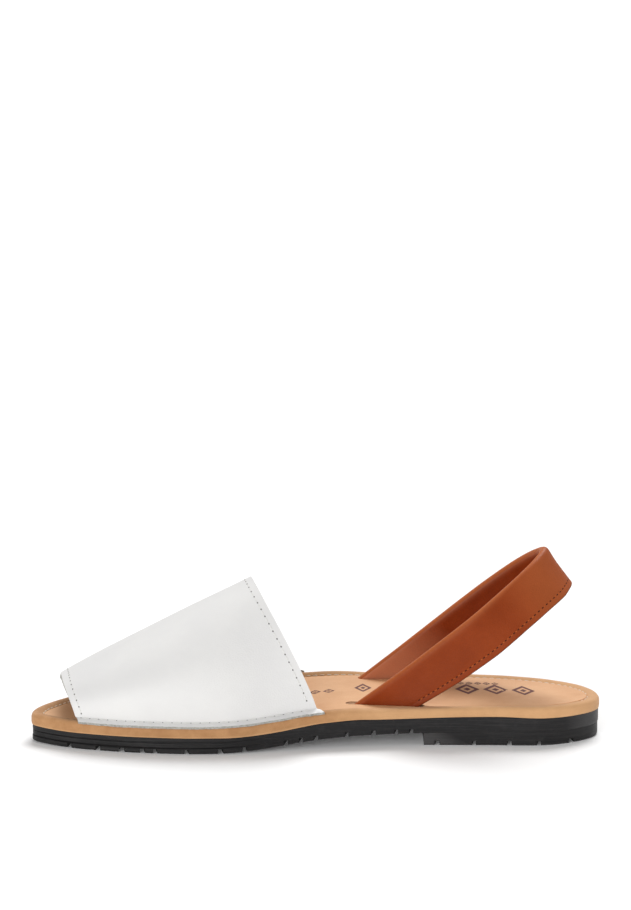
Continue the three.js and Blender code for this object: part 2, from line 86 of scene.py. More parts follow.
class Ply(Enum):
    """Material slots of a leather piece, in the order of its mesh."""

    GRAIN = 0
    CUT = 1
    BACK = 2


class Table:
    """Rows of a shape's values, read at any place as a smooth curve through them."""

    def __init__(self, names: str, *rows: Sequence[float]) -> None:
        """Keeps the rows by column.

        Args:
            names: names of the columns, apart by spaces.
            rows: values of each row, in the order of the names.
        """
        self.columns = dict(zip(names.split(), (list(column) for column in zip(*rows))))

    def _slope(self, by: str, key: str, row: int, limited: bool) -> float:
        """Slope of the curve at one row.

        Args:
            by: column that gives the place.
            key: column that is read.
            row: number of the row.
            limited: whether the curve may not swing past a row.

        Returns:
            Change of the value for a change of one of the place.
        """
        places, values = self.columns[by], self.columns[key]

        def rise(i: int) -> float:
            """Slope of the straight line from row i to the next."""
            return (values[i + 1] - values[i]) / (places[i + 1] - places[i])

        last = len(places) - 1
        if row == 0:
            return rise(0)
        if row == last:
            return rise(last - 1)
        before, after = rise(row - 1), rise(row)
        if not limited:
            return (before + after) / 2
        return 2 * before * after / (before + after) if before * after > 0 else 0.0

    def read(self, by: str, key: str, at: float, limited: bool = False) -> float:
        """Reads one column at any place.

        Args:
            by: column that gives the place.
            key: column that is read.
            at: the place.
            limited: whether the curve may not swing past a row.

        Returns:
            The value there.
        """
        places, values = self.columns[by], self.columns[key]
        last = len(places) - 1
        place = clamp(at, places[0], places[last])
        row = min(max(bisect_left(places, place) - 1, 0), last - 1)
        span = places[row + 1] - places[row]
        t = (place - places[row]) / span
        start = self._slope(by, key, row, limited)
        end = self._slope(by, key, row + 1, limited)
        smooth = t * t * (3 - 2 * t)
        bend = start * t * (1 - t) ** 2 + end * t * t * (t - 1)
        return values[row] + (values[row + 1] - values[row]) * smooth + span * bend


# Turn from the heel's tip to the toe's tip, then the inner and the outer edge, each as a share of
# the ball's width.
OUTLINE = (
    (0.0, 0.055, 0.055),
    (0.1, 0.198, -0.135),
    (0.2, 0.303, -0.279),
    (0.3, 0.304, -0.37),
    (0.4, 0.304, -0.428),
    (0.5, 0.362, -0.478),
    (0.6, 0.465, -0.524),
    (0.7, 0.449, -0.449),
    (0.8, 0.375, -0.245),
    (0.9, 0.281, 0.0),
    (1.0, 0.187, 0.187),
)

# Height of the sole's underside in shares of the heel's rise, by share of the length.
UNDERSIDE = Table(
    "along rise",
    (0.0, 1.0),
    (0.155, 1.0),
    (0.302, 0.9),
    (0.426, 0.815),
    (0.475, 0.7),
    (0.527, 0.516),
    (0.566, 0.33),
    (0.612, 0.153),
    (0.66, 0.048),
    (0.74, 0.0),
    (0.915, 0.0),
    (1.0, 0.08),
)

# Share of its full height that the edging has, by share of the length.
RAND_RISE = Table("along rise", (0.0, 0.79), (0.38, 0.79), (0.482, 1.0), (1.0, 1.0))


def lerp(start: float, end: float, share: float) -> float:
    """Value at a share of the way from start to end."""
    return start + (end - start) * share


def clamp(value: float, low: float = 0.0, high: float = 1.0) -> float:
    """Value kept between two bounds."""
    return min(max(value, low), high)


def at_height(point: Vector, z: float) -> Vector:
    """Point of the plan at a height above the ground."""
    return Vector((point.x, point.y, z))


def wobble(point: Vector, length: float, seed: float = 0.0) -> float:
    """Slow random change over a surface.

    Args:
        point: place in millimetres.
        length: distance over which the value changes, in millimetres.
        seed: picks one of many patterns.

    Returns:
        A value between about -1 and 1.
    """
    return noise.noise(Vector((point.x + 37.1 * seed, point.y, point.z)) / length)


@dataclass(frozen=True)
class Last:
    """Plan and heights of the footbed and its edging, which every piece is laid on."""

    length: float = 256.2
    ball_width: float = 91.0
    thickness: float = 7.25
    heel_rise: float = 6.2
    fit_gap: float = 0.3
    rand_height: float = 5.2
    rand_width: float = 5.8
    rand_overhang: float = 0.4
    tangent_step: float = 0.004

    def _rows(self, side: Side) -> Table:
        """Outline of one side, carried on past both tips into the other side."""
        own, other = (1, 2) if side is Side.INNER else (2, 1)
        rows = [(row[0], row[own]) for row in OUTLINE]
        rows.insert(0, (-OUTLINE[1][0], OUTLINE[1][other]))
        rows.append((2 - OUTLINE[-2][0], OUTLINE[-2][other]))
        return Table("turn share", *rows)

    def edge_point(self, side: Side, turn: float) -> Vector:
        """Point of the outline.

        Args:
            side: side of the foot.
            turn: 0 at the heel's tip, 1 at the toe's tip.

        Returns:
            Point in plan, in millimetres.
        """
        x = self.length * (1 - math.cos(math.pi * turn)) / 2
        return Vector((x, self.ball_width * SIDE_ROWS[side].read("turn", "share", turn)))

    def inward(self, side: Side, turn: float) -> Vector:
        """Direction from the outline into the footbed."""
        before = self.edge_point(side, turn - self.tangent_step)
        tangent = (self.edge_point(side, turn + self.tangent_step) - before).normalized()
        return Vector((tangent.y, -tangent.x)) * side.value

    def inset_point(self, side: Side, turn: float, inset: float) -> Vector:
        """Point of the outline moved inwards along its own normal."""
        return self.edge_point(side, turn) + self.inward(side, turn) * inset

    def turn_at(self, x: float) -> float:
        """Turn of the outline at a distance from the heel's tip."""
        return math.acos(clamp(1 - 2 * x / self.length, -1)) / math.pi

    def share(self, x: float) -> float:
        """Share of the length at a distance from the heel's tip, kept within 0 and 1."""
        return clamp(x / self.length)

    def bottom(self, x: float) -> float:
        """Height of the sole's underside above the ground."""
        return self.heel_rise * UNDERSIDE.read("along", "rise", self.share(x), True)

    def top(self, x: float) -> float:
        """Height of the top of the sole's body above the ground."""
        return self.bottom(x) + self.thickness

    def seat(self, x: float) -> float:
        """Height at which the sock and the edging rest on the sole."""
        return self.top(x) + self.fit_gap

    def rand_rise(self, x: float) -> float:
        """Share of the edging's full height at a distance from the heel's tip."""
        return RAND_RISE.read("along", "rise", self.share(x), True)

    def frames(self, stations: int) -> list[Place]:
        """Points round the outline with their inward directions.

        Args:
            stations: steps from the heel's tip to the toe's tip.

        Returns:
            Pairs of point and direction: the inner side to the toe, then the outer side back.
        """
        turns = [(Side.INNER, i / stations) for i in range(stations + 1)]
        turns += [(Side.OUTER, i / stations) for i in range(stations - 1, 0, -1)]
        return self.frames_at(turns)

    def frames_at(self, turns: Iterable[tuple[Side, float]]) -> list[Place]:
        """Points with their inward directions, one for each side and turn."""
        return [(self.edge_point(s, t), self.inward(s, t)) for s, t in turns]


LAST = Last()
SIDE_ROWS = {side: LAST._rows(side) for side in Side}


def ring(frames: Iterable[Place], inset: Level, height: Level) -> list[Vector]:
    """Ring of points round the shoe.

    Args:
        frames: points of the outline with their inward directions.
        inset: distance in from the outline, from the place along X.
        height: height above the ground, from the place along X.

    Returns:
        Points in millimetres.
    """
    points = []
    for point, inward in frames:
        placed = point + inward * inset(point.x)
        points.append(at_height(placed, height(placed.x)))
    return points


class Surface:
    """Faces laid over rows of points in millimetres, made into a mesh in metres."""

    def __init__(self) -> None:
        """Starts with no points."""
        self.points: list[Vector] = []
        self.wear: list[float] = []
        self.faces: list[tuple[int, ...]] = []
        self.plies: list[int] = []

    def row(self, points: Sequence[Vector], wear: Sequence[float] | float = 0.0) -> list[int]:
        """Adds a row of points.

        Args:
            points: places in millimetres.
            wear: share of the second tone at each point, for real wear and for painted light, or
                one value for all.

        Returns:
            Numbers of the new points.
        """
        start = len(self.points)
        self.points.extend(points)
        values = [wear] * len(points) if isinstance(wear, float) else list(wear)
        self.wear.extend(values)
        return list(range(start, start + len(points)))

    def face(self, corners: Iterable[int], ply: Ply = Ply.GRAIN) -> None:
        """Adds a face, without the corners that fall together."""
        kept = tuple(dict.fromkeys(corners))
        if len(kept) > 2:
            self.faces.append(kept)
            self.plies.append(ply.value)

    def join(
        self,
        lower: Sequence[int],
        upper: Sequence[int],
        closed: bool = False,
        plies: Sequence[Ply] | None = None,
    ) -> None:
        """Lays faces between two rows.

        Args:
            lower: one row.
            upper: the next row, with as many points.
            closed: whether the rows run round.
            plies: material of each column of faces, the grain where it is left out.
        """
        count = len(lower) if closed else len(lower) - 1
        for i in range(count):
            after = (i + 1) % len(lower)
            ply = plies[i] if plies else Ply.GRAIN
            self.face((lower[i], lower[after], upper[after], upper[i]), ply)

    def skin(
        self,
        rows: Sequence[Sequence[int]],
        plies: Sequence[Ply] | None = None,
        ends: Ply | None = None,
    ) -> None:
        """Lays faces over rows that run round.

        Args:
            rows: the rows, one after the other.
            plies: material of each column of faces, the grain where it is left out.
            ends: material that closes the first and the last row, if they are closed.
        """
        for lower, upper in zip(rows, rows[1:]):
            self.join(lower, upper, closed=True, plies=plies)
        if ends is not None:
            self.face(rows[0], ends)
            self.face(rows[-1], ends)

    def cap(self, ring_row: Sequence[int], pairs_from: int) -> None:
        """Closes a ring with strips between its two sides.

        Args:
            ring_row: numbers of the ring's points.
            pairs_from: sum of the places of two facing points.
        """
        count = len(ring_row)
        for i in range(count // 2):
            facing = (pairs_from - i) % count
            next_facing = (pairs_from - i - 1) % count
            corners = (i, (i + 1) % count, next_facing, facing)
            self.face([ring_row[c] for c in corners])

    def build(
        self, name: str, materials: Sequence[bpy.types.Material], sharp: float = SHARP_USUAL
    ) -> bpy.types.Object:
        """Makes the object.

        Args:
            name: name of the piece.
            materials: one per ply that the faces use.
            sharp: angle in degrees over which an edge stays sharp.

        Returns:
            The object, linked to the scene.
        """
        mesh = bpy.data.meshes.new(name)
        shift = Vector((HEEL_TO_CENTRE, -AXIS_TO_CENTRE, 0))
        mesh.from_pydata([(p - shift) * MM for p in self.points], [], self.faces)
        # One share per point of the second tone: real wear and raw edges, and painted light.
        wear = mesh.attributes.new("wear", "FLOAT", "POINT")
        wear.data.foreach_set("value", self.wear)
        mesh.polygons.foreach_set("material_index", self.plies)
        for material in materials:
            mesh.materials.append(material)
        tidy_mesh(mesh, sharp)
        return link(name, mesh)


def link(name: str, data: bpy.types.ID) -> bpy.types.Object:
    """Makes an object of a mesh, light or camera and links it to the scene."""
    made = bpy.data.objects.new(name, data)
    bpy.context.collection.objects.link(made)
    return made


def tidy_mesh(mesh: bpy.types.Mesh, sharp: float) -> None:
    """Turns all faces outwards and shades the mesh smooth.

    Args:
        mesh: the mesh, changed in place.
        sharp: angle in degrees over which an edge stays sharp.
    """
    work = bmesh.new()
    work.from_mesh(mesh)
    bmesh.ops.remove_doubles(work, verts=work.verts, dist=MERGE_DISTANCE)
    bmesh.ops.recalc_face_normals(work, faces=work.faces)
    for face in work.faces:
        face.smooth = True
    work.to_mesh(mesh)
    work.free()
    mesh.set_sharp_from_angle(angle=math.radians(sharp))


def combine(target: bpy.types.Object, tool: bpy.types.Object, operation: str) -> None:
    """Joins a solid to another, or cuts it out, and deletes the tool.

    Args:
        target: object that is changed.
        tool: closed object that is used up.
        operation: UNION or DIFFERENCE.
    """
    cut = target.modifiers.new("cut", "BOOLEAN")
    cut.operation = operation
    cut.object = tool
    cut.solver = "EXACT"
    result = target.evaluated_get(bpy.context.evaluated_depsgraph_get())
    mesh = bpy.data.meshes.new_from_object(result)
    target.modifiers.remove(cut)
    old = target.data
    mesh.name = target.name
    target.data = mesh
    bpy.data.meshes.remove(old)
    bpy.data.objects.remove(tool)


def tint(red: int, green: int, blue: int) -> Colour:
    """Linear colour from the usual 0 to 255 values."""
    linear = [
        v / 12.92 if v <= 0.04045 else ((v + 0.055) / 1.055) ** 2.4
        for v in (red / 255, green / 255, blue / 255)
    ]
    return (linear[0], linear[1], linear[2], 1.0)


class Shader:
    """Node tree of one material, with its surface shader and output in place."""

    def __init__(self, name: str) -> None:
        """Makes the material with an empty surface.

        Args:
            name: name of the material.
        """
        self.material = bpy.data.materials.new(name)
        self.material.use_nodes = True
        self.tree = self.material.node_tree
        self.tree.nodes.clear()
        self.surface = self.node("ShaderNodeBsdfPrincipled")
        output = self.node("ShaderNodeOutputMaterial")
        self.join(self.surface.outputs["BSDF"], output.inputs["Surface"])
        self.place = self.node("ShaderNodeTexCoord").outputs["Object"]

    def node(self, kind: str, **settings: object) -> bpy.types.Node:
        """Adds a node with its settings."""
        made = self.tree.nodes.new(kind)
        for key, value in settings.items():
            setattr(made, key, value)
        return made

    def join(self, source: bpy.types.NodeSocket, target: bpy.types.NodeSocket) -> None:
        """Links two sockets."""
        self.tree.links.new(source, target)

    def set(self, **values: float | Colour | bpy.types.NodeSocket) -> None:
        """Sets or links sockets of the surface, named with _ for each space."""
        for key, value in values.items():
            socket = self.surface.inputs[key.replace("_", " ")]
            if isinstance(value, bpy.types.NodeSocket):
                self.join(value, socket)
            else:
                socket.default_value = value

    def stretched(self, x: float, y: float, z: float) -> bpy.types.NodeSocket:
        """Place on the object, scaled along each axis."""
        mapping = self.node("ShaderNodeMapping")
        mapping.inputs["Scale"].default_value = (x, y, z)
        self.join(self.place, mapping.inputs["Vector"])
        return mapping.outputs["Vector"]

    def noise(
        self,
        size: float,
        detail: float = 2.0,
        roughness: float = 0.5,
        place: bpy.types.NodeSocket | None = None,
    ) -> bpy.types.NodeSocket:
        """Random pattern.

        Args:
            size: size of its spots in millimetres.
            detail: how many finer layers it has.
            roughness: how strong the finer layers are.
            place: where it is read, on the object where it is left out.

        Returns:
            Socket with values around 0.5.
        """
        made = self.node("ShaderNodeTexNoise")
        made.inputs["Scale"].default_value = 1 / (size * MM)
        made.inputs["Detail"].default_value = detail
        made.inputs["Roughness"].default_value = roughness
        self.join(place or self.place, made.inputs["Vector"])
        return made.outputs["Fac"]

    def cells(self, size: float) -> bpy.types.NodeSocket:
        """Leather cells of a size in millimetres: 0 in the creases between them."""
        made = self.node("ShaderNodeTexVoronoi", feature="DISTANCE_TO_EDGE")
        made.inputs["Scale"].default_value = 1 / (size * MM)
        self.join(self.place, made.inputs["Vector"])
        return made.outputs["Distance"]

    def spread(
        self, value: bpy.types.NodeSocket, source: tuple[float, float], to: tuple[float, float]
    ) -> bpy.types.NodeSocket:
        """Spreads a range of values over another.

        Args:
            value: socket that is read.
            source: lowest and highest value that are told apart.
            to: what they become.

        Returns:
            Socket with the new value.
        """
        made = self.node("ShaderNodeMapRange")
        for key, number in zip(
            ("From Min", "From Max", "To Min", "To Max"), (*source, *to), strict=True
        ):
            made.inputs[key].default_value = number
        self.join(value, made.inputs["Value"])
        return made.outputs["Result"]

    def wear(self) -> bpy.types.NodeSocket:
        """Share of the second tone at each point of the mesh, for real wear and for painted light.
        """
        return self.node("ShaderNodeAttribute", attribute_name="wear").outputs["Fac"]

    def blend(
        self,
        share: bpy.types.NodeSocket,
        first: bpy.types.NodeSocket | Colour,
        second: bpy.types.NodeSocket | Colour,
    ) -> bpy.types.NodeSocket:
        """Mixes two colours by a share."""
        made = self.node("ShaderNodeMix", data_type="RGBA")
        colours = [socket for socket in made.inputs if socket.type == "RGBA"]
        self.join(share, made.inputs["Factor"])
        for socket, colour in zip(colours, (first, second), strict=True):
            if isinstance(colour, tuple):
                socket.default_value = colour
            else:
                self.join(colour, socket)
        return next(socket for socket in made.outputs if socket.type == "RGBA")

    def dapple(
        self,
        pattern: bpy.types.NodeSocket,
        source: tuple[float, float],
        most: float,
        first: bpy.types.NodeSocket | Colour,
        second: Colour,
    ) -> bpy.types.NodeSocket:
        """Spots of a second colour over a first one.

        Args:
            pattern: socket that gives the spots.
            source: values of the pattern where the spots start and are full.
            most: share of the second colour in a full spot.
            first: colour between the spots.
            second: colour of the spots.

        Returns:
            Socket with the colour.
        """
        return self.blend(self.spread(pattern, source, (0.0, most)), first, second)

    def bump(
        self,
        height: bpy.types.NodeSocket,
        depth: float,
        under: bpy.types.NodeSocket | None = None,
    ) -> bpy.types.NodeSocket:
        """Relief.

        Args:
            height: socket that gives the height.
            depth: its full height in millimetres.
            under: relief that this one is added to.

        Returns:
            Socket with the normal.
        """
        made = self.node("ShaderNodeBump")
        made.inputs["Distance"].default_value = depth * MM
        self.join(height, made.inputs["Height"])
        if under is not None:
            self.join(under, made.inputs["Normal"])
        return made.outputs["Normal"]


@dataclass(frozen=True)
class Leather:
    """Leather finish: base colour with mottling, fine cells and a second tone for worn or cut
    places and for painted light.
    """

    name: str
    colour: Colour
    mottle: Colour
    worn_and_lit: Colour
    mottle_size: float = 14.0
    grain_size: float = 0.45
    cell_size: float = 0.9
    relief: float = 0.05
    nap: float = 0.0
    nap_size: float = 0.3
    roughness: tuple[float, float] = (0.4, 0.6)
    specular: float = 0.5
    sheen: float = 0.0

    def material(self) -> bpy.types.Material:
        """Makes the material.

        Returns:
            A material with its colour, roughness and relief from nodes.
        """
        shader = Shader(self.name)
        slow = shader.noise(self.mottle_size, detail=4.0, roughness=0.6)
        fine = shader.noise(self.grain_size, detail=3.0, roughness=0.65)
        base = shader.dapple(slow, (0.36, 0.68), 1.0, self.colour, self.mottle)
        grained = shader.dapple(fine, (0.35, 0.75), 0.35, base, self.mottle)
        cells = shader.spread(shader.cells(self.cell_size), (0.0, 0.25), (0.0, 1.0))
        relief = shader.bump(cells, self.relief)
        if self.nap:
            fibres = shader.noise(self.nap_size, detail=5.0, roughness=0.7)
            relief = shader.bump(fibres, self.nap, relief)
        shader.set(
            Base_Color=shader.blend(shader.wear(), grained, self.worn_and_lit),
            Roughness=shader.spread(fine, (0.3, 0.7), self.roughness),
            Normal=relief,
            Specular_IOR_Level=self.specular,
            Sheen_Weight=self.sheen,
            Sheen_Roughness=0.5,
        )
        return shader.material


@dataclass(frozen=True)
class Rubber:
    """Moulded black rubber with fine lines along its side, dust, and a lighter tone at its pale
    lower edge and as painted light at the tip of the heel.
    """

    name: str = "black_rubber"
    colour: Colour = tint(22, 21, 22)
    dust: Colour = tint(54, 52, 52)
    # Lighter tone for the pale lower edge, and painted light at the tip of the heel.
    edge: Colour = tint(92, 90, 90)
    line_size: float = 0.35
    dust_size: float = 5.0
    pore_size: float = 0.5

    def material(self) -> bpy.types.Material:
        """Makes the material.

        Returns:
            A material with its colour, roughness and relief from nodes.
        """
        shader = Shader(self.name)
        level = shader.stretched(0.02, 0.02, 1.0)
        lines = shader.noise(self.line_size, detail=3.0, roughness=0.6, place=level)
        dust = shader.noise(self.dust_size, detail=5.0, roughness=0.7)
        streaked = shader.dapple(lines, (0.48, 0.72), 0.55, self.colour, self.dust)
        dusted = shader.dapple(dust, (0.5, 0.8), 0.6, streaked, self.dust)
        pores = shader.noise(self.pore_size, detail=4.0, roughness=0.7)
        shader.set(
            Base_Color=shader.blend(shader.wear(), dusted, self.edge),
            Roughness=shader.spread(dust, (0.3, 0.7), (0.42, 0.62)),
            Normal=shader.bump(pores, 0.04, shader.bump(lines, 0.08)),
            Specular_IOR_Level=0.3,
        )
        return shader.material


@dataclass(frozen=True)
class Yarn:
    """Sewing thread, or the shade in a stitch hole."""

    name: str
    colour: Colour
    shade: Colour
    roughness: float = 0.7
    twist_size: float = 0.25

    def material(self) -> bpy.types.Material:
        """Makes the material.

        Returns:
            A material with a twisted look from nodes.
        """
        shader = Shader(self.name)
        twist = shader.noise(self.twist_size, place=shader.stretched(1.0, 1.0, 0.4))
        shader.set(
            Base_Color=shader.dapple(twist, (0.35, 0.7), 1.0, self.colour, self.shade),
            Normal=shader.bump(twist, 0.08),
            Roughness=self.roughness,
            Specular_IOR_Level=0.15,
        )
        return shader.material


@dataclass(frozen=True)
class Seam:
    """Row of stitches: threads that rise a little between their holes."""

    pitch: float
    thread_radius: float
    hole_radius: float
    gap: float
    lift: float = 0.3
    hole_stretch: float = 1.15
    hole_squash: float = 0.85
    thread_squash: float = 0.8
    rise: float = 0.7
    end_power: float = 0.35
    end_share: float = 0.02
    rings: int = 7
    spokes: int = 8
    # Radius in shares of the hole's, and height above the leather in millimetres.
    hole_rings: tuple[tuple[float, float], ...] = ((1.0, -0.15), (0.8, 0.06), (0.4, 0.08))

    def _angles(self) -> list[float]:
        """Angles of the points round a thread or a hole."""
        return [2 * math.pi * j / self.spokes for j in range(self.spokes)]

    def places(self, path: Sequence[Place]) -> list[Place]:
        """Even places along a path.

        Args:
            path: points with their outward normals.

        Returns:
            Points one pitch apart, with their normals.
        """
        made = []
        wanted = 0.0
        walked = 0.0
        for (start, normal), (end, after) in zip(path, path[1:]):
            step = (end - start).length
            while step > 0 and wanted <= walked + step:
                share = (wanted - walked) / step
                made.append((start.lerp(end, share), normal.lerp(after, share).normalized()))
                wanted += self.pitch
            walked += step
        return made

    def thread(self, surface: Surface, start: Vector, end: Vector, normal: Vector) -> None:
        """Adds the thread between two holes.

        Args:
            surface: mesh in making.
            start: first hole.
            end: second hole.
            normal: direction away from the leather.
        """
        along = (end - start).normalized()
        across = along.cross(normal).normalized()
        start, end = start + along * self.gap / 2, end - along * self.gap / 2
        rows = []
        for i in range(self.rings + 1):
            share = i / self.rings
            bulge = math.sin(math.pi * clamp(share, self.end_share, 1 - self.end_share))
            height = self.lift + self.rise * bulge - self.rise
            centre = start.lerp(end, share) + normal * self.thread_radius * height
            radius = self.thread_radius * bulge**self.end_power
            points = []
            for angle in self._angles():
                sunk = normal * math.sin(angle) * self.thread_squash
                offset = across * math.cos(angle) + sunk
                points.append(centre + offset * radius)
            rows.append(surface.row(points))
        surface.skin(rows, ends=Ply.GRAIN)

    def hole(self, surface: Surface, centre: Vector, normal: Vector, along: Vector) -> None:
        """Adds the shaded hole as a low disc.

        Args:
            surface: mesh in making.
            centre: its place.
            normal: direction away from the leather.
            along: direction of the seam.
        """
        across = along.cross(normal).normalized()
        rims = []
        for radius, height in self.hole_rings:
            points = []
            for angle in self._angles():
                offset = along * math.cos(angle) * self.hole_stretch
                offset += across * math.sin(angle) * self.hole_squash
                points.append(centre + offset * radius * self.hole_radius + normal * height)
            rims.append(surface.row(points))
        surface.skin(rims, [Ply.CUT] * self.spokes, Ply.CUT)

    def sew(
        self,
        name: str,
        paths: Sequence[Sequence[Place]],
        materials: Sequence[bpy.types.Material],
    ) -> bpy.types.Object:
        """Sews along paths.

        Args:
            name: name of the piece.
            paths: lines of points with their outward normals.
            materials: thread, then the hole's painted shade.

        Returns:
            One object with all stitches.
        """
        surface = Surface()
        for path in paths:
            places = self.places(path)
            for (start, normal), (end, after) in zip(places, places[1:]):
                self.thread(surface, start, end, (normal + after).normalized())
                if self.hole_radius > 0:
                    self.hole(surface, start, normal, (end - start).normalized())
        return surface.build(name, materials)


def settle(piece: bpy.types.Object, node: str | None = None) -> None:
    """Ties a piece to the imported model.

    Args:
        piece: the object.
        node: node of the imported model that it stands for.
    """
    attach(piece, BODY)
    if node:
        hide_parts(node)
    LOG.info("%s: %d faces", piece.name, len(piece.data.polygons))


@dataclass
class Outsole:
    """Black rubber unit: thin body, heel block, side lines and zigzag tread."""

    heel_length: float = 79.7
    heel_step_in: float = 0.25
    edge_round: float = 0.6
    groove_depth: float = 0.55
    tread_width: float = 2.4
    tread_depth: float = 2.1
    tread_zigzag: float = 2.6
    tread_teeth: int = 7
    tread_seed: int = 7
    tread_spread: tuple[float, float] = (0.8, 1.2)
    tread_taper: float = 0.85
    heel_overlap: float = 1.5
    line_depth: float = 0.07
    line_length: float = 26.0
    line_crowding: float = 2.6
    # Painted light at the tip of the heel: how far it reaches and how strong it is.
    heel_light_length: float = 16.0
    heel_light_share: float = 0.55
    # Reach of the pale lower edge and how pale it is. The reach is in shares of the body's height,
    # and in millimetres on the heel block.
    body_lip: tuple[float, float] = (0.05, 0.5)
    heel_lip: tuple[float, float] = (0.4, 0.6)
    stations: int = 150
    side: Table = Table(
        "up groove round",
        (0.0, 0.0, 1.0),
        (0.035, 0.0, 0.3),
        (0.07, 0.0, 0.0),
        (0.3, 0.0, 0.0),
        (0.36, 1.0, 0.0),
        (0.42, 0.3, 0.0),
        (0.64, 0.3, 0.0),
        (0.69, 1.0, 0.0),
        (0.75, 0.15, 0.0),
        (1.0, 0.15, 0.0),
    )
    fade: Table = Table(
        "along depth", (0.0, 0.0), (0.45, 0.0), (0.8, 1.0), (1.0, 1.0)
    )
    side_levels: int = 34
    heel_levels: int = 16
    tread_places: tuple[float, ...] = (
        0.056, 0.111, 0.163, 0.225, 0.29, 0.335, 0.361, 0.4, 0.446, 0.498, 0.523, 0.548,
        0.622, 0.665, 0.724, 0.778, 0.8, 0.835, 0.876, 0.93,
    )  # fmt: skip

    def _line(self, x: float, height: float) -> float:
        """Depth of the fine moulded lines at a place of the side."""
        spot = Vector((x / self.line_length, height * self.line_crowding, 0.0))
        return self.line_depth * (0.5 + noise.noise(spot))

    def _pale_edge_and_heel_light(self, points: Sequence[Vector], up: float, lip: tuple[float, float]) -> list[float]:
        """Lighter tone of a row of points: a pale lower edge, and painted light towards the tip of
        the heel.

        Args:
            points: the row.
            up: its height above the lower edge.
            lip: reach and strength of the pale lower edge.

        Returns:
            Lighter tone of each point.
        """
        edge = max(0.0, 1 - up / lip[0]) * lip[1]
        return [max(edge, self.heel_light_share * (1 - p.x / self.heel_light_length)) for p in points]

    def _body(self, material: bpy.types.Material) -> bpy.types.Object:
        """Thin body that runs the whole length."""
        surface = Surface()
        frames = LAST.frames(self.stations)
        rows = []
        for i in range(self.side_levels + 1):
            share = i / self.side_levels
            groove = self.side.read("up", "groove", share, True) * self.groove_depth
            rounding = self.side.read("up", "round", share, True) * self.edge_round

            def inset(x: float, up: float = share, cut: float = groove, bend: float = rounding):
                """Distance in from the outline at one level."""
                depth = cut * self.fade.read("along", "depth", x / LAST.length, True)
                return depth + bend + self._line(x, up * LAST.thickness)

            def height(x: float, up: float = share) -> float:
                """Height of one level."""
                return LAST.bottom(x) + LAST.thickness * up

            points = ring(frames, inset, height)
            rows.append(surface.row(points, self._pale_edge_and_heel_light(points, share, self.body_lip)))
        surface.skin(rows)
        surface.cap(rows[0], 0)
        surface.cap(rows[-1], 0)
        return surface.build("rubber_outsole", [material])

    def _heel(self, material: bpy.types.Material) -> bpy.types.Object:
        """Heel block, square at its breast, which reaches up into the body."""
        surface = Surface()
        end = LAST.turn_at(self.heel_length)
        turns = [(Side.INNER, end * i / self.stations) for i in range(self.stations, -1, -1)]
        turns += [(Side.OUTER, end * i / self.stations) for i in range(1, self.stations + 1)]
        frames = LAST.frames_at(turns)
        rows = []
        for i in range(self.heel_levels + 1):
            height = (LAST.heel_rise + self.heel_overlap) * i / self.heel_levels
            rounding = max(0.0, self.edge_round - height)

            def inset(x: float, up: float = height, bend: float = rounding) -> float:
                """Distance in from the outline at one level."""
                return self.heel_step_in + bend + self._line(x, up)

            points = ring(frames, inset, lambda _, up=height: up)
            rows.append(surface.row(points, self._pale_edge_and_heel_light(points, height, self.heel_lip)))
        surface.skin(rows)
        surface.cap(rows[0], len(rows[0]) - 1)
        surface.cap(rows[-1], len(rows[0]) - 1)
        return surface.build("heel_block", [material])

    def _groove(self, surface: Surface, x: float, floor: float, widen: float) -> None:
        """Adds one zigzag cutter across the tread.

        Args:
            surface: mesh in making.
            x: its place from the heel's tip.
            floor: height of the sole there.
            widen: share of the usual width.
        """
        half = LAST.ball_width / 2 + self.tread_zigzag * 2
        width = self.tread_width * widen / 2
        narrow = width * self.tread_taper
        lines: list[list[Vector]] = [[], [], [], []]
        top = floor + self.tread_depth
        for i in range(self.tread_teeth + 1):
            y = lerp(-half, half, i / self.tread_teeth)
            middle = x + (0.5 if i % 2 == 0 else -0.5) * self.tread_zigzag
            corners = ((-width, -1.0), (-narrow, top), (narrow, top), (width, -1.0))
            for line, (shift, z) in zip(lines, corners, strict=True):
                line.append(Vector((middle + shift, y, z)))
        rows = [surface.row(list(corner)) for corner in zip(*lines, strict=True)]
        surface.skin(rows, ends=Ply.GRAIN)

    def build(self, finish: Finishes) -> None:
        """Builds the unit.

        Args:
            finish: materials by name.
        """
        material = finish["black_rubber"]
        sole = self._body(material)
        combine(sole, self._heel(material), "UNION")
        draw = random.Random(self.tread_seed)
        cutters = Surface()
        for at in self.tread_places:
            x = at * LAST.length
            floor = 0.0 if x < self.heel_length else LAST.bottom(x)
            self._groove(cutters, x, floor, draw.uniform(*self.tread_spread))
        combine(sole, cutters.build("tread_cutter", [material], SHARP_CUT), "DIFFERENCE")
        tidy_mesh(sole.data, SHARP_CUT)
        settle(sole, "outsole")


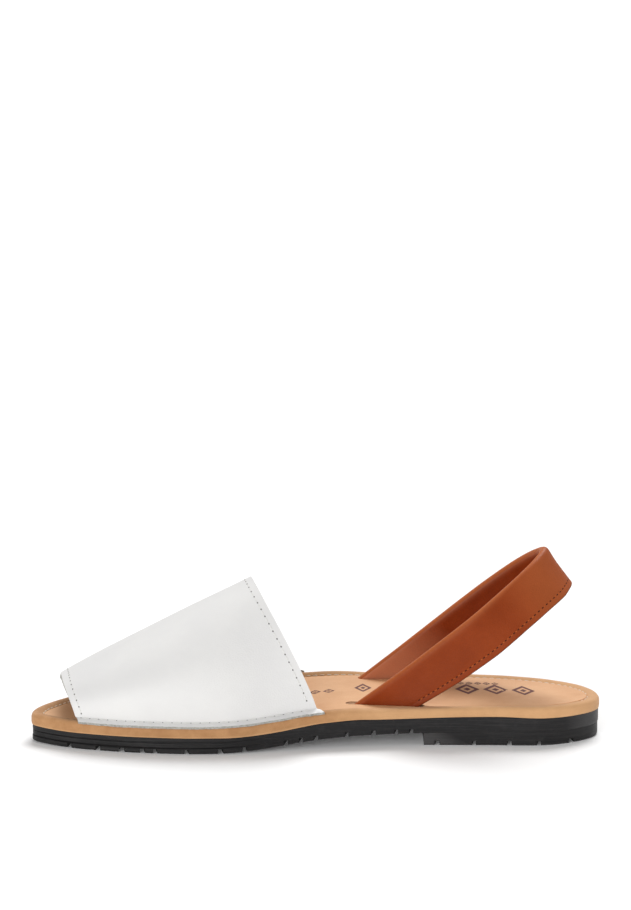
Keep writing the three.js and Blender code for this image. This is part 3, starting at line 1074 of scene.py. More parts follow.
@dataclass
class Rand:
    """Nubuck edging rolled over the rim of the footbed, with the footbed's seam."""

    stations: int = 220
    steps: int = 44
    unevenness: float = 0.12
    uneven_length: float = 9.0
    bulge_up: float = 0.6
    raw_up: float = 0.12
    raw_wear: float = 0.5
    skirt_in: float = 0.05
    skirt_up: float = 0.2
    # Painted light on the edging behind the vamp: its strength, the share of the length where it
    # ends, and how fast it fades.
    pale: float = 0.5
    lit_until: float = 0.5
    lit_fade: float = 8.0
    seam_in: float = 0.93
    seam_up: float = 0.825
    seam_dip: float = 0.05
    dip_growth: float = 3.0
    seam_lean: float = 0.5
    seam: Seam = Seam(pitch=3.3, thread_radius=0.26, hole_radius=0.0, gap=0.7, lift=0.1)
    skirt: Table = Table(
        "along down",
        (0.0, 1.1),
        (0.1, 1.0),
        (0.18, 0.3),
        (0.25, 0.2),
        (0.35, 0.5),
        (0.39, 0.4),
        (0.43, 0.0),
        (0.49, 0.0),
        (0.53, 0.45),
        (0.56, 0.65),
        (0.63, 0.55),
        (0.7, 0.15),
        (1.0, 0.1),
    )
    section: Table = Table(
        "step in up",
        (0, 0.04, 0.0),
        (1, 0.0, 0.2),
        (2, 0.0, 0.56),
        (3, 0.07, 0.83),
        (4, 0.22, 0.96),
        (5, 0.44, 1.0),
        (6, 0.66, 0.96),
        (7, 0.85, 0.87),
        (8, 1.0, 0.77),
    )

    def _at(self, point: Vector, inward: Vector, share_in: float, share_up: float) -> Vector:
        """Point of the edging's skin at one place of the outline."""
        placed = point + inward * (share_in * LAST.rand_width - LAST.rand_overhang)
        rise = LAST.rand_height * LAST.rand_rise(placed.x) * share_up
        if share_in < self.skirt_in:
            reach = self.skirt.read("along", "down", LAST.share(placed.x), True)
            rise -= reach * max(0.0, 1 - share_up / self.skirt_up)
        return at_height(placed, LAST.seat(placed.x) + rise)

    def build(self, finish: Finishes) -> None:
        """Builds the edging and its seam.

        Args:
            finish: materials by name.
        """
        surface = Surface()
        frames = LAST.frames(self.stations)
        last_step = self.section.columns["step"][-1]
        rows = []
        for i in range(self.steps + 1):
            step = last_step * i / self.steps
            share_in = self.section.read("step", "in", step, True)
            share_up = self.section.read("step", "up", step, True)
            points = []
            for point, inward in frames:
                placed = self._at(point, inward, share_in, share_up)
                swell = self.unevenness * wobble(placed, self.uneven_length)
                outward = Vector((-inward.x, -inward.y, self.bulge_up))
                points.append(placed + outward * (swell * math.sin(math.pi * i / self.steps)))
            # The raw bottom edge is lighter from its fibres; behind the vamp the edging gets
            # painted light.
            bottom_edge = max(0.0, 1 - share_up / self.raw_up) if i < self.steps / 2 else 0.0
            wear = [max(bottom_edge * self.raw_wear, self._painted_light(p)) for p in points]
            rows.append(surface.row(points, wear))
        rows.append(surface.row([self._at(p, inward, 1.0, 0.0) for p, inward in frames]))
        surface.skin([*rows, rows[0]])
        edging = surface.build("rolled_edging", [finish["tan_nubuck"]])
        settle(edging, "rand")

        yarn = finish["cream_thread"]
        stitches = self.seam.sew("footbed_stitches", [self._seam_path(frames)], [yarn, yarn])
        settle(stitches)

    def _seam_path(self, frames: Sequence[Place]) -> list[Place]:
        """Line of the seam, lower on the inner side.

        Args:
            frames: points of the outline with their inward directions.

        Returns:
            Points on the edging with their normals, once round.
        """
        path = []
        for i, (point, inward) in enumerate([*frames, frames[0]]):
            bend = max(0.0, math.sin(math.pi * i / self.stations))
            up = self.seam_up - self.seam_dip * min(1.0, self.dip_growth * bend)
            near = self._at(point, inward, self.seam_in, up)
            lean = inward * self.seam_lean
            path.append((near, Vector((lean.x, lean.y, 1.0)).normalized()))
        return path

    def _painted_light(self, point: Vector) -> float:
        """Painted light on the edging at a point, stronger behind the vamp."""
        return self.pale * clamp((self.lit_until - point.x / LAST.length) * self.lit_fade)


@dataclass
class Insole:
    """Leather sock inside the edging, hollowed a little, with slots for the strap."""

    thickness: float = 4.1
    dish: float = 0.4
    settle_share: float = 0.5
    side_gap: float = 0.05
    stations: int = 150
    columns: int = 40
    edge_drop: float = 0.15
    edge_fade: float = 14.0
    unevenness: float = 0.06
    uneven_length: float = 12.0
    slot_rear_x: float = 79.4
    slot_front_x: tuple[float, float] = (114.8, 108.8)
    slot_depth: float = 1.0
    slot_front_width: float = 5.6
    slot_rear_width: float = 4.0
    slot_end_steps: int = 12
    cutter_height: float = 9.0

    def surface_height(self, x: float, share: float, turn: float) -> float:
        """Height of the sock's face.

        Args:
            x: place from the heel's tip.
            share: 0 at the inner edge, 1 at the outer edge.
            turn: turn of the outline at that place.

        Returns:
            Height above the ground.
        """
        dish = self.dish * math.sin(math.pi * share) * math.sin(math.pi * turn)
        edge = min(share, 1 - share) * self.edge_fade
        drop = self.edge_drop * max(0.0, 1 - edge) ** 2
        thickness = self.thickness * lerp(1.0, LAST.rand_rise(x), self.settle_share)
        return LAST.seat(x) + thickness - dish - drop

    def _across(self, turn: float) -> tuple[Vector, Vector]:
        """Inner and outer end of a line across the sock."""
        inset = LAST.rand_width - LAST.rand_overhang + self.side_gap
        start = LAST.inset_point(Side.INNER, turn, inset)
        return start, LAST.inset_point(Side.OUTER, turn, inset)

    def on_face(self, x: float, share: float, lift: float = 0.0) -> Vector:
        """Point of the sock's face.

        Args:
            x: place from the heel's tip.
            share: 0 at the inner edge, 1 at the outer edge.
            lift: height above the face.

        Returns:
            The point.
        """
        turn = LAST.turn_at(x)
        start, end = self._across(turn)
        placed = start.lerp(end, share)
        return at_height(placed, self.surface_height(placed.x, share, turn) + lift)

    def _slot(
        self, side: Side, strap: "SlingStrap", material: bpy.types.Material
    ) -> bpy.types.Object:
        """Cutter for one slot, along the foot of the strap.

        Args:
            side: side of the foot.
            strap: the strap, which gives the slot's line.
            material: any material.

        Returns:
            The cutter's object.
        """
        rolled, lower = strap.foot_points(side)
        line = lower - rolled
        front_x = self.slot_front_x[0 if side is Side.INNER else 1]
        front, rear = (
            rolled + line * ((x - rolled.x) / line.x) for x in (front_x, self.slot_rear_x)
        )
        along = (front - rear).normalized()
        across = Vector((-along.y, along.x))
        outline = []
        ends = ((front, self.slot_front_width, 1), (rear, self.slot_rear_width, -1))
        for end, width, sign in ends:
            radius = width / 2
            centre = end - along * radius * sign
            for i in range(self.slot_end_steps + 1):
                angle = math.pi * i / self.slot_end_steps - math.pi / 2
                offset = along * math.cos(angle) + across * math.sin(angle)
                outline.append(centre + offset * radius * sign)
        surface = Surface()
        low = strap.foot_z - self.slot_depth
        heights = (low, low + self.cutter_height)
        rows = [surface.row([at_height(p, z) for p in outline]) for z in heights]
        surface.skin(rows, ends=Ply.GRAIN)
        return surface.build("slot_cutter", [material], SHARP_CUT)

    def build(self, finish: Finishes, strap: "SlingStrap") -> None:
        """Builds the sock.

        Args:
            finish: materials by name.
            strap: the strap, which gives the slots' lines.
        """
        surface = Surface()
        rows = []
        for i in range(self.stations + 1):
            turn = i / self.stations
            start, end = self._across(turn)
            upper, lower = [], []
            for j in range(self.columns + 1):
                share = j / self.columns
                placed = start.lerp(end, share)
                z = self.surface_height(placed.x, share, turn)
                z += self.unevenness * wobble(at_height(placed, 0), self.uneven_length)
                upper.append(at_height(placed, z))
                lower.append(at_height(placed, LAST.seat(placed.x)))
            rows.append(surface.row(upper + lower[::-1]))
        top = [Ply.GRAIN] * self.columns
        sides = [Ply.GRAIN] + [Ply.CUT] * self.columns + [Ply.GRAIN]
        surface.skin(rows, top + sides)
        cut = finish["sock_cut_lightened"]
        piece = surface.build("footbed_sock", [finish["sock_leather"], cut])
        for side in Side:
            combine(piece, self._slot(side, strap, cut), "DIFFERENCE")
        tidy_mesh(piece.data, SHARP_USUAL)
        settle(piece, "insole")


@dataclass(frozen=True)
class MarkRow:
    """Row of lozenges: its ends along the shoe, place across, half width and number."""

    start: float
    end: float
    across: float
    half_width: float
    count: int


@dataclass
class FootbedMarks:
    """Plain stamped ornament on the footbed: rows of lozenges at the heel and the waist."""

    rows: tuple[MarkRow, ...] = (
        MarkRow(26.0, 65.0, 0.59, 9.0, 3),
        MarkRow(43.0, 63.0, 0.795, 2.3, 5),
        MarkRow(101.5, 110.5, 0.63, 6.2, 1),
        MarkRow(118.5, 131.0, 0.57, 2.6, 2),
    )
    corners: tuple[tuple[float, float], ...] = ((-0.44, 0.0), (0.0, 1.0), (0.44, 0.0), (0.0, -1.0))
    sizes: tuple[float, float, float] = (1.0, 0.62, 0.3)
    edge_steps: int = 4
    sock_width: float = 0.56
    lift: float = 0.04

    def build(self, finish: Finishes, insole: Insole) -> None:
        """Builds the stamp.

        Args:
            finish: materials by name.
            insole: the sock that it lies on.
        """
        surface = Surface()
        for row in self.rows:
            for i in range(row.count):
                rings = [surface.row(self._lozenge(insole, row, i, size)) for size in self.sizes]
                surface.join(rings[0], rings[1], closed=True)
                surface.face(rings[2])
        settle(surface.build("footbed_marks", [finish["stamp_ink"]]))

    def _lozenge(self, insole: Insole, row: MarkRow, number: int, size: float) -> list[Vector]:
        """Line of one lozenge, laid on the sock.

        Args:
            insole: the sock.
            row: the row that it belongs to.
            number: its place in the row, from 0.
            size: share of its full size.

        Returns:
            Points round the lozenge.
        """
        step = (row.end - row.start) / row.count
        middle = row.start + step * (number + 0.5)
        width = LAST.ball_width * self.sock_width
        points = []
        for (a, b), (c, d) in zip(self.corners, self.corners[1:] + self.corners[:1]):
            for k in range(self.edge_steps):
                part = k / self.edge_steps
                along, across = lerp(a, c, part) * size, lerp(b, d, part) * size
                share = row.across + across * row.half_width / width
                points.append(insole.on_face(middle + along * step, share, self.lift))
        return points


@dataclass
class Vamp:
    """White leather arch over the forefoot, its lower edges turned out on the edging."""

    wall: float = 2.0
    flange_thickness: float = 1.0
    crease_inset: float = 2.0
    flange_overhang: float = 1.0
    flange_drop: float = 1.2
    flange_front_setback: float = 2.6
    flange_rear_reach: float = 3.0
    edge_roll: float = 0.25
    edge_sag: float = 1.15
    instep_height: float = 71.4
    toe_opening_height: float = 27.5
    wave: float = 0.45
    wave_length: float = 6.0
    fray: float = 0.7
    fray_length: float = 1.6
    rows: int = 150
    arch_steps: int = 120
    fillet_steps: int = 6
    flange_steps: int = 5
    fillet: float = 0.9
    inner_fillet: float = 0.7
    # Feet and ridge in shares of the length, at the front edge and at the rear edge.
    ends: Table = Table(
        "back inner outer ridge", (0.0, 0.9235, 0.9387, 0.95), (1.0, 0.4977, 0.534, 0.6136)
    )
    arch: Table = Table(
        "back squareness lean",
        (0.0, 2.4, 0.09),
        (0.35, 2.2, 0.07),
        (0.7, 2.2, 0.04),
        (1.0, 2.2, 0.025),
    )
    inside: tuple[float, float] = (2.0, 10.0)
    probe: float = 0.02
    nudge: float = 0.1
    foot_seam_from: int = 3
    front_seam_in: float = 3.5
    rear_seam_in: float = 3.2
    front_seam: Seam = Seam(pitch=3.2, thread_radius=0.25, hole_radius=0.42, gap=0.9)
    rear_seam: Seam = Seam(pitch=3.9, thread_radius=0.25, hole_radius=0.46, gap=0.9)
    foot_seam: Seam = Seam(pitch=4.2, thread_radius=0.3, hole_radius=0.36, gap=0.8)

    def _foot(self, side: Side, x: float, inset: float, up: float) -> Vector:
        """Point on the edging under the vamp."""
        placed = LAST.inset_point(side, LAST.turn_at(x), inset)
        z = LAST.top(placed.x) + LAST.rand_height + 2 * LAST.fit_gap + up
        return at_height(placed, z)

    def _flange_line(self, side: Side, back: float, depth: float) -> list[Vector]:
        """Points of the flange from its tip to the crease.

        Args:
            side: side of the foot.
            back: 0 at the front edge, 1 at the rear edge.
            depth: 0 at the outer face, 1 at the inner face.

        Returns:
            Tip, middle and crease.
        """
        key = "inner" if side is Side.INNER else "outer"
        x = LAST.length * lerp(*self.ends.columns[key], back)
        tip_x = x - lerp(self.flange_front_setback, self.flange_rear_reach, back)
        up = self.flange_thickness * (1 - depth)
        crease = self.crease_inset
        spot = Vector((x, 0, self.wall * depth))
        ragged = self.wave * wobble(spot, self.wave_length, side.value)
        ragged += self.fray * wobble(spot, self.fray_length, 5 * side.value)
        tip = self._foot(side, tip_x, -self.flange_overhang + ragged, up - self.flange_drop)
        middle = self._foot(side, (x + tip_x) / 2, crease / 2, up)
        foot = self._foot(side, x, crease + depth * self.wall, up)
        return [tip, middle, foot]

    def section(self, back: float, depth: float) -> list[Vector]:
        """One row of the vamp from flange tip to flange tip.

        Args:
            back: 0 at the front edge, 1 at the rear edge.
            depth: 0 at the outer face, 1 at the inner face.

        Returns:
            Points in millimetres.
        """
        near = self._flange_line(Side.INNER, back, depth)
        far = self._flange_line(Side.OUTER, back, depth)
        ridge_x = self.ends.columns["ridge"]
        run = LAST.length * (ridge_x[0] - ridge_x[1])
        slope = math.atan2(self.instep_height - self.toe_opening_height, run)
        ridge = Vector(
            (
                LAST.length * lerp(*ridge_x, back),
                LAST.ball_width * self.arch.read("back", "lean", back),
                lerp(self.toe_opening_height, self.instep_height, back)
                - depth * self.wall / math.cos(slope),
            )
        )
        squareness = self.arch.read("back", "squareness", back)
        middle = (near[2] + far[2]) / 2
        half_span = (near[2] - far[2]) / 2
        rise = ridge - middle
        fillet = lerp(self.fillet, self.inner_fillet, depth)
        first = math.asin((fillet / rise.z) ** (squareness / 2))
        arch = []
        for i in range(self.arch_steps + 1):
            angle = lerp(first, math.pi - first, i / self.arch_steps)
            cosine, sine = math.cos(angle), math.sin(angle)
            across = math.copysign(abs(cosine) ** (2 / squareness), cosine)
            point = middle + half_span * across + rise * sine ** (2 / squareness)
            foot = (near if cosine > 0 else far)[2]
            share = self._cut_height(point, foot) / self._cut_height(ridge, foot)
            point.x = lerp(foot.x, ridge.x, max(share, 0.0) ** self.edge_sag)
            arch.append(point)
        left = self._turned_up(near, arch[0], fillet)
        right = self._turned_up(far, arch[-1], fillet)
        return left + arch + right[::-1]

    def _cut_height(self, point: Vector, foot: Vector) -> float:
        """Height above a foot, measured across the sloping cut of the vamp's end."""
        return point.z - foot.z + self.edge_roll * (foot.y - point.y)

    def _turned_up(self, line: list[Vector], wall: Vector, fillet: float) -> list[Vector]:
        """Flange with a rounded crease.

        Args:
            line: tip, middle and crease of the flange.
            wall: first point of the wall above the crease.
            fillet: size of the rounding.

        Returns:
            Points from the tip to just below the wall.
        """
        tip, middle, crease = line
        start = crease + (middle - crease).normalized() * min(fillet, (middle - crease).length)
        points = []
        for i in range(self.flange_steps):
            share = i / self.flange_steps
            bend = tip.lerp(middle, share).lerp(middle.lerp(start, share), share)
            points.append(bend)
        for i in range(self.fillet_steps):
            share = i / self.fillet_steps
            points.append(start.lerp(crease, share).lerp(crease.lerp(wall, share), share))
        return points

    def _path(self, points: Sequence[Vector], beside: Sequence[Vector]) -> list[Place]:
        """Points of a line with the normals of the face.

        Args:
            points: the line, from the near side to the far side.
            beside: the same line a little further back.

        Returns:
            Pairs of point and normal.
        """
        pairs = []
        for i in range(1, len(points) - 1):
            normal = (points[i + 1] - points[i - 1]).cross(beside[i] - points[i]).normalized()
            if normal.dot(points[i] - Vector((points[i].x, *self.inside))) < 0:
                normal.negate()
            pairs.append((points[i], normal))
        return pairs

    def _edge_path(self, edge: float, inset: float, ends: int) -> list[Place]:
        """Line beside the front or rear edge.

        Args:
            edge: 0 for the front edge, 1 for the rear edge.
            inset: its distance from the edge.
            ends: points that are left out at each end.

        Returns:
            Pairs of point and normal.
        """
        step = self.probe if edge == 0 else -self.probe
        first, second = self.section(edge, 0.0), self.section(edge + step, 0.0)
        points = [a.lerp(b, inset / (b - a).length) for a, b in zip(first, second)]
        shifted = [p + (b - a) * self.nudge for p, a, b in zip(points, first, second)]
        return self._path(points, shifted)[ends:-ends]

    def _foot_path(self, side: Side) -> list[Place]:
        """Line along the crease of one side."""
        pairs = []
        for i in range(self.foot_seam_from, self.rows - 1):
            rows = [self.section((i + k) / self.rows, 0.0) for k in (0, 1)]
            at = self.flange_steps
            if side is Side.OUTER:
                at = len(rows[0]) - 1 - at
            across = rows[0][at + 1] - rows[0][at - 1]
            normal = across.cross(rows[1][at] - rows[0][at]).normalized()
            if normal.z < 0:
                normal.negate()
            pairs.append((rows[0][at], normal))
        return pairs

    def build(self, finish: Finishes) -> None:
        """Builds the vamp and its three seams.

        Args:
            finish: materials by name.
        """
        surface = Surface()
        rows = []
        for i in range(self.rows + 1):
            share = i / self.rows
            outer = self.section(share, 0.0)
            inner = self.section(share, 1.0)
            middle = self.section(share, 0.5)
            loop = outer + [middle[-1]] + inner[::-1] + [middle[0]]
            rows.append(surface.row(loop))
        count = len(outer)
        plies = [Ply.GRAIN] * (count - 1) + [Ply.CUT] * 2 + [Ply.BACK] * (count - 1)
        plies += [Ply.CUT] * 2
        surface.skin(rows, plies)
        for row in (rows[0], rows[-1]):
            outer_row, inner_row = row[:count], row[count + 1 : 2 * count + 1][::-1]
            surface.join(outer_row, inner_row, plies=[Ply.CUT] * (count - 1))
            surface.face((row[count - 1], row[count], row[count + 1]), Ply.CUT)
            surface.face((row[0], row[2 * count], row[2 * count + 1]), Ply.CUT)
        leathers = [finish[name] for name in ("white_leather", "raw_white_edge", "suede_back")]
        vamp = surface.build("vamp_leather", leathers, SHARP_FOLD)
        settle(vamp, "vamp")
        skip = self.flange_steps + self.fillet_steps + 1
        front = self._edge_path(0.0, self.front_seam_in, skip)
        rear = self._edge_path(1.0, self.rear_seam_in, skip)
        seams = (
            ("vamp_front_stitches", self.front_seam, [front]),
            ("vamp_rear_stitches", self.rear_seam, [rear]),
            ("vamp_foot_stitches", self.foot_seam, [self._foot_path(side) for side in Side]),
        )
        yarns = [finish["white_thread"], finish["white_hole_shade"]]
        for name, seam, paths in seams:
            settle(seam.sew(name, paths, yarns))


@dataclass(frozen=True)
class Station:
    """One place along the strap."""

    centre: Vector
    down: Vector
    outward: Vector
    width: float
    up: float
    share: float


@dataclass
class SlingStrap:
    """Folded leather strap round the heel, sewn along its lower edge."""

    width: float = 20.8
    roll: float = 4.4
    pitch: float = math.radians(38.7)
    foot_x: float = 109.3
    foot_z: float = 16.7
    reach: float = 107.0
    sink: float = 1.0
    steps: int = 230
    stitch_down: float = 0.865
    stitch_above: float = 6.0
    unevenness: float = 0.12
    uneven_length: float = 11.0
    tangent_step: float = 0.002
    sway_growth: float = 6.0
    fold_to: float = 0.06
    cut_from: float = 0.98
    # Painted light: inside the far foot at its base, and outside round the heel.
    inner_shine: float = 0.95
    inner_shine_up: float = 0.44
    heel_light: float = 0.37
    heel_light_up: tuple[float, float] = (0.7, 0.94)
    seam: Seam = Seam(
        pitch=2.5, thread_radius=0.26, hole_radius=0.42, gap=1.1, lift=0.2, hole_stretch=1.7
    )
    path: Table = Table(
        "up across width ahead lean",
        (-0.3, 0.13, 0.8, 0.02, 0.17),
        (0.0, 0.157, 0.8, 0.02, 0.17),
        (0.2, 0.19, 0.84, 0.0, 0.17),
        (0.4, 0.204, 0.96, 0.0, 0.12),
        (0.6, 0.203, 1.01, 0.0, 0.08),
        (0.75, 0.159, 0.99, 0.0, 0.19),
        (0.87, 0.103, 0.99, 0.0, 0.26),
        (0.955, 0.032, 1.03, 0.0, 0.19),
        (0.998, -0.062, 1.01, 0.0, 0.06),
        (0.955, -0.156, 1.0, 0.0, 0.0),
        (0.87, -0.2345, 1.0, 0.0, 0.0),
        (0.72, -0.288, 1.0, 0.0, 0.0),
        (0.55, -0.312, 1.0, -0.012, 0.0),
        (0.4, -0.323, 0.95, -0.03, 0.0),
        (0.2, -0.336, 0.84, -0.052, 0.0),
        (0.0, -0.345, 0.8, -0.055, 0.0),
        (-0.3, -0.345, 0.8, -0.055, 0.0),
    )
    # The last column is a painted highlight along the rolled top edge.
    section: Table = Table(
        "down half wear",
        (0.0, 0.0, 0.75),
        (0.012, 0.46, 0.7),
        (0.03, 0.72, 0.55),
        (0.06, 0.92, 0.3),
        (0.1, 1.0, 0.12),
        (0.15, 0.97, 0.03),
        (0.2, 0.92, 0.0),
        (0.32, 0.78, 0.0),
        (0.45, 0.67, 0.0),
        (0.65, 0.6, 0.0),
        (0.8, 0.57, 0.0),
        (0.845, 0.54, 0.0),
        (0.865, 0.49, 0.0),
        (0.885, 0.53, 0.0),
        (0.94, 0.56, 0.0),
        (0.985, 0.54, 0.0),
        (1.0, 0.48, 0.0),
        (1.0, 0.06, 0.0),
        (0.985, 0.0, 0.0),
    )

    def _rows(self) -> list[dict[str, float]]:
        """Rows of the strap's path."""
        columns = self.path.columns
        return [dict(zip(columns, row)) for row in zip(*columns.values(), strict=True)]

    def _place(self, row: dict[str, float]) -> Vector:
        """Place of the rolled edge in one row of the path."""
        run = row["up"] * self.reach
        return Vector(
            (
                self.foot_x + row["ahead"] * self.width - run * math.cos(self.pitch),
                LAST.ball_width * row["across"],
                self.foot_z + run * math.sin(self.pitch),
            )
        )

    def _down(self, lean: float) -> Vector:
        """Direction from the rolled edge to the lower edge."""
        return Vector((-math.sin(self.pitch), lean, -math.cos(self.pitch)))

    def foot_points(self, side: Side) -> tuple[Vector, Vector]:
        """Where the strap's rolled edge and its lower edge enter the footbed.

        Args:
            side: side of the foot.

        Returns:
            Both points in plan.
        """
        leg = [row for row in self._rows() if row["across"] * side.value > 0 and row["up"] >= 0]
        rolled, lower = sorted(leg, key=lambda row: row["up"])[:2]
        rear = self._place(lower) + self._down(lower["lean"]) * lower["width"] * self.width
        return self._place(rolled).to_2d(), rear.to_2d()

    def _curve(self, points: Sequence[Vector], share: float) -> Vector:
        """Place along the smooth loop.

        Args:
            points: points that it passes through.
            share: 0 at its inner end, 1 at its outer end.

        Returns:
            The point.
        """
        last = len(points) - 1
        at = min(int(share * last), last - 1)
        t = share * last - at
        middle = points[at : at + 2]
        before = points[at - 1] if at > 0 else middle[0] * 2 - middle[1]
        after = points[at + 2] if at + 2 <= last else middle[1] * 2 - middle[0]
        chain = [before, *middle, after]
        gaps = [max((b - a).length, 1e-6) ** 0.5 for a, b in zip(chain, chain[1:])]
        a, b, c, d = chain
        start = (b - a) / gaps[0] - (c - a) / (gaps[0] + gaps[1]) + (c - b) / gaps[1]
        end = (c - b) / gaps[1] - (d - b) / (gaps[1] + gaps[2]) + (d - c) / gaps[2]
        start, end = start * gaps[1], end * gaps[1]
        return (
            b
            + start * t
            + (b * -3 + c * 3 - start * 2 - end) * t**2
            + (b * 2 - c * 2 + start + end) * t**3
        )

    def _stations(self) -> list[Station]:
        """Stations along the strap, from its inner end to its outer end."""
        table = self._rows()
        points = [self._place(row) for row in table]
        made = []
        for i in range(self.steps + 1):
            share = i / self.steps
            at = min(int(share * (len(table) - 1)), len(table) - 2)
            t = share * (len(table) - 1) - at
            row = {key: lerp(table[at][key], table[at + 1][key], t) for key in table[at]}
            centre = self._curve(points, share)
            before = self._curve(points, max(share - self.tangent_step, 0))
            after = self._curve(points, min(share + self.tangent_step, 1))
            down = self._down(row["lean"])
            outward = (after - before).cross(down).normalized()
            width = row["width"] * self.width
            made.append(Station(centre, down, outward, width, row["up"], share))
        return made

    def _loop(self) -> list[tuple[float, float, float]]:
        """Section as a closed line: down, half thickness with its side, painted highlight."""
        columns = self.section.columns
        one = list(zip(columns["down"], columns["half"], columns["wear"], strict=True))
        other = [(down, -half, wear) for down, half, wear in one[-2:0:-1]]
        return one + other

    def _ply(self, one: tuple[float, float, float], other: tuple[float, float, float]) -> Ply:
        """Material between two points of the section."""
        if min(one[0], other[0]) > self.cut_from:
            return Ply.CUT
        # Inside faces take the darker copy of the leather, as painted shade.
        shaded_inside = one[1] + other[1] > 0 and max(one[0], other[0]) > self.fold_to
        return Ply.BACK if shaded_inside else Ply.GRAIN

    def _sway(self, point: Vector) -> float:
        """Slow unevenness of the leather at a point, in millimetres."""
        return self.unevenness * wobble(point, self.uneven_length)

    def build(self, finish: Finishes) -> None:
        """Builds the strap and its seam.

        Args:
            finish: materials by name.
        """
        surface = Surface()
        loop = self._loop()
        rows = []
        for at in self._stations():
            points, painted_lights = [], []
            for along, half, wear in loop:
                across = at.outward * half * self.roll / 2
                point = at.centre + at.down * along * at.width + across
                sway = self._sway(point) * min(1.0, along * self.sway_growth)
                points.append(point + at.outward * sway)
                # Painted highlight on the rolled edge, and painted light round the heel and at the
                # far foot.
                painted_lights.append(max(wear, self._painted_light(at, half)))
            rows.append(surface.row(points, painted_lights))
        raw = [self._ply(one, other) for one, other in zip(loop, loop[1:] + loop[:1])]
        surface.skin(rows, raw, Ply.GRAIN)
        # The inside faces get a darker copy of the cognac leather as painted shade.
        names = ("cognac_leather", "cognac_cut", "cognac_shaded_inside")
        strap = surface.build("folded_strap", [finish[name] for name in names], SHARP_FOLD)
        self._trim(strap)
        settle(strap, "sling_strap")
        stitches = self._sew([finish["cognac_thread"], finish["cognac_hole_shade"]])
        settle(stitches)

    def _painted_light(self, at: Station, half: float) -> float:
        """Painted light on the leather: outside round the heel, and inside at the far foot.

        Args:
            at: station along the strap.
            half: side of the section, above 0 towards the foot.

        Returns:
            Share of the lighter tone that is painted light.
        """
        if half <= 0:
            low, high = self.heel_light_up
            rise = clamp((at.up - low) / (high - low))
            return self.heel_light * rise * rise * (3 - 2 * rise)
        if at.share <= 0.5:
            return 0.0
        return self.inner_shine * max(0.0, 1 - at.up / self.inner_shine_up)

    def _trim(self, strap: bpy.types.Object) -> None:
        """Cuts both ends off level inside the slots."""
        work = bmesh.new()
        work.from_mesh(strap.data)
        everything = work.verts[:] + work.edges[:] + work.faces[:]
        cut = bmesh.ops.bisect_plane(
            work,
            geom=everything,
            plane_co=(0, 0, (self.foot_z - self.sink) * MM),
            plane_no=(0, 0, 1),
            clear_inner=True,
        )
        edges = [item for item in cut["geom_cut"] if isinstance(item, bmesh.types.BMEdge)]
        bmesh.ops.holes_fill(work, edges=edges, sides=0)
        work.to_mesh(strap.data)
        work.free()
        tidy_mesh(strap.data, SHARP_FOLD)

    def _sew(self, materials: Sequence[bpy.types.Material]) -> bpy.types.Object:
        """Sews both faces along the lower edge.

        Args:
            materials: thread, then the hole's painted shade.

        Returns:
            The stitches.
        """
        half = self.section.read("down", "half", self.stitch_down) * self.roll / 2
        paths = []
        for face in (1, -1):
            path = []
            for at in self._stations():
                line = at.centre + at.down * self.stitch_down * at.width
                if line.z < LAST.top(line.x) + self.stitch_above:
                    continue
                shift = at.outward * (face * half + self._sway(line))
                path.append((line + shift, at.outward * face))
            paths.append(path)
        return self.seam.sew("strap_stitches", paths, materials)


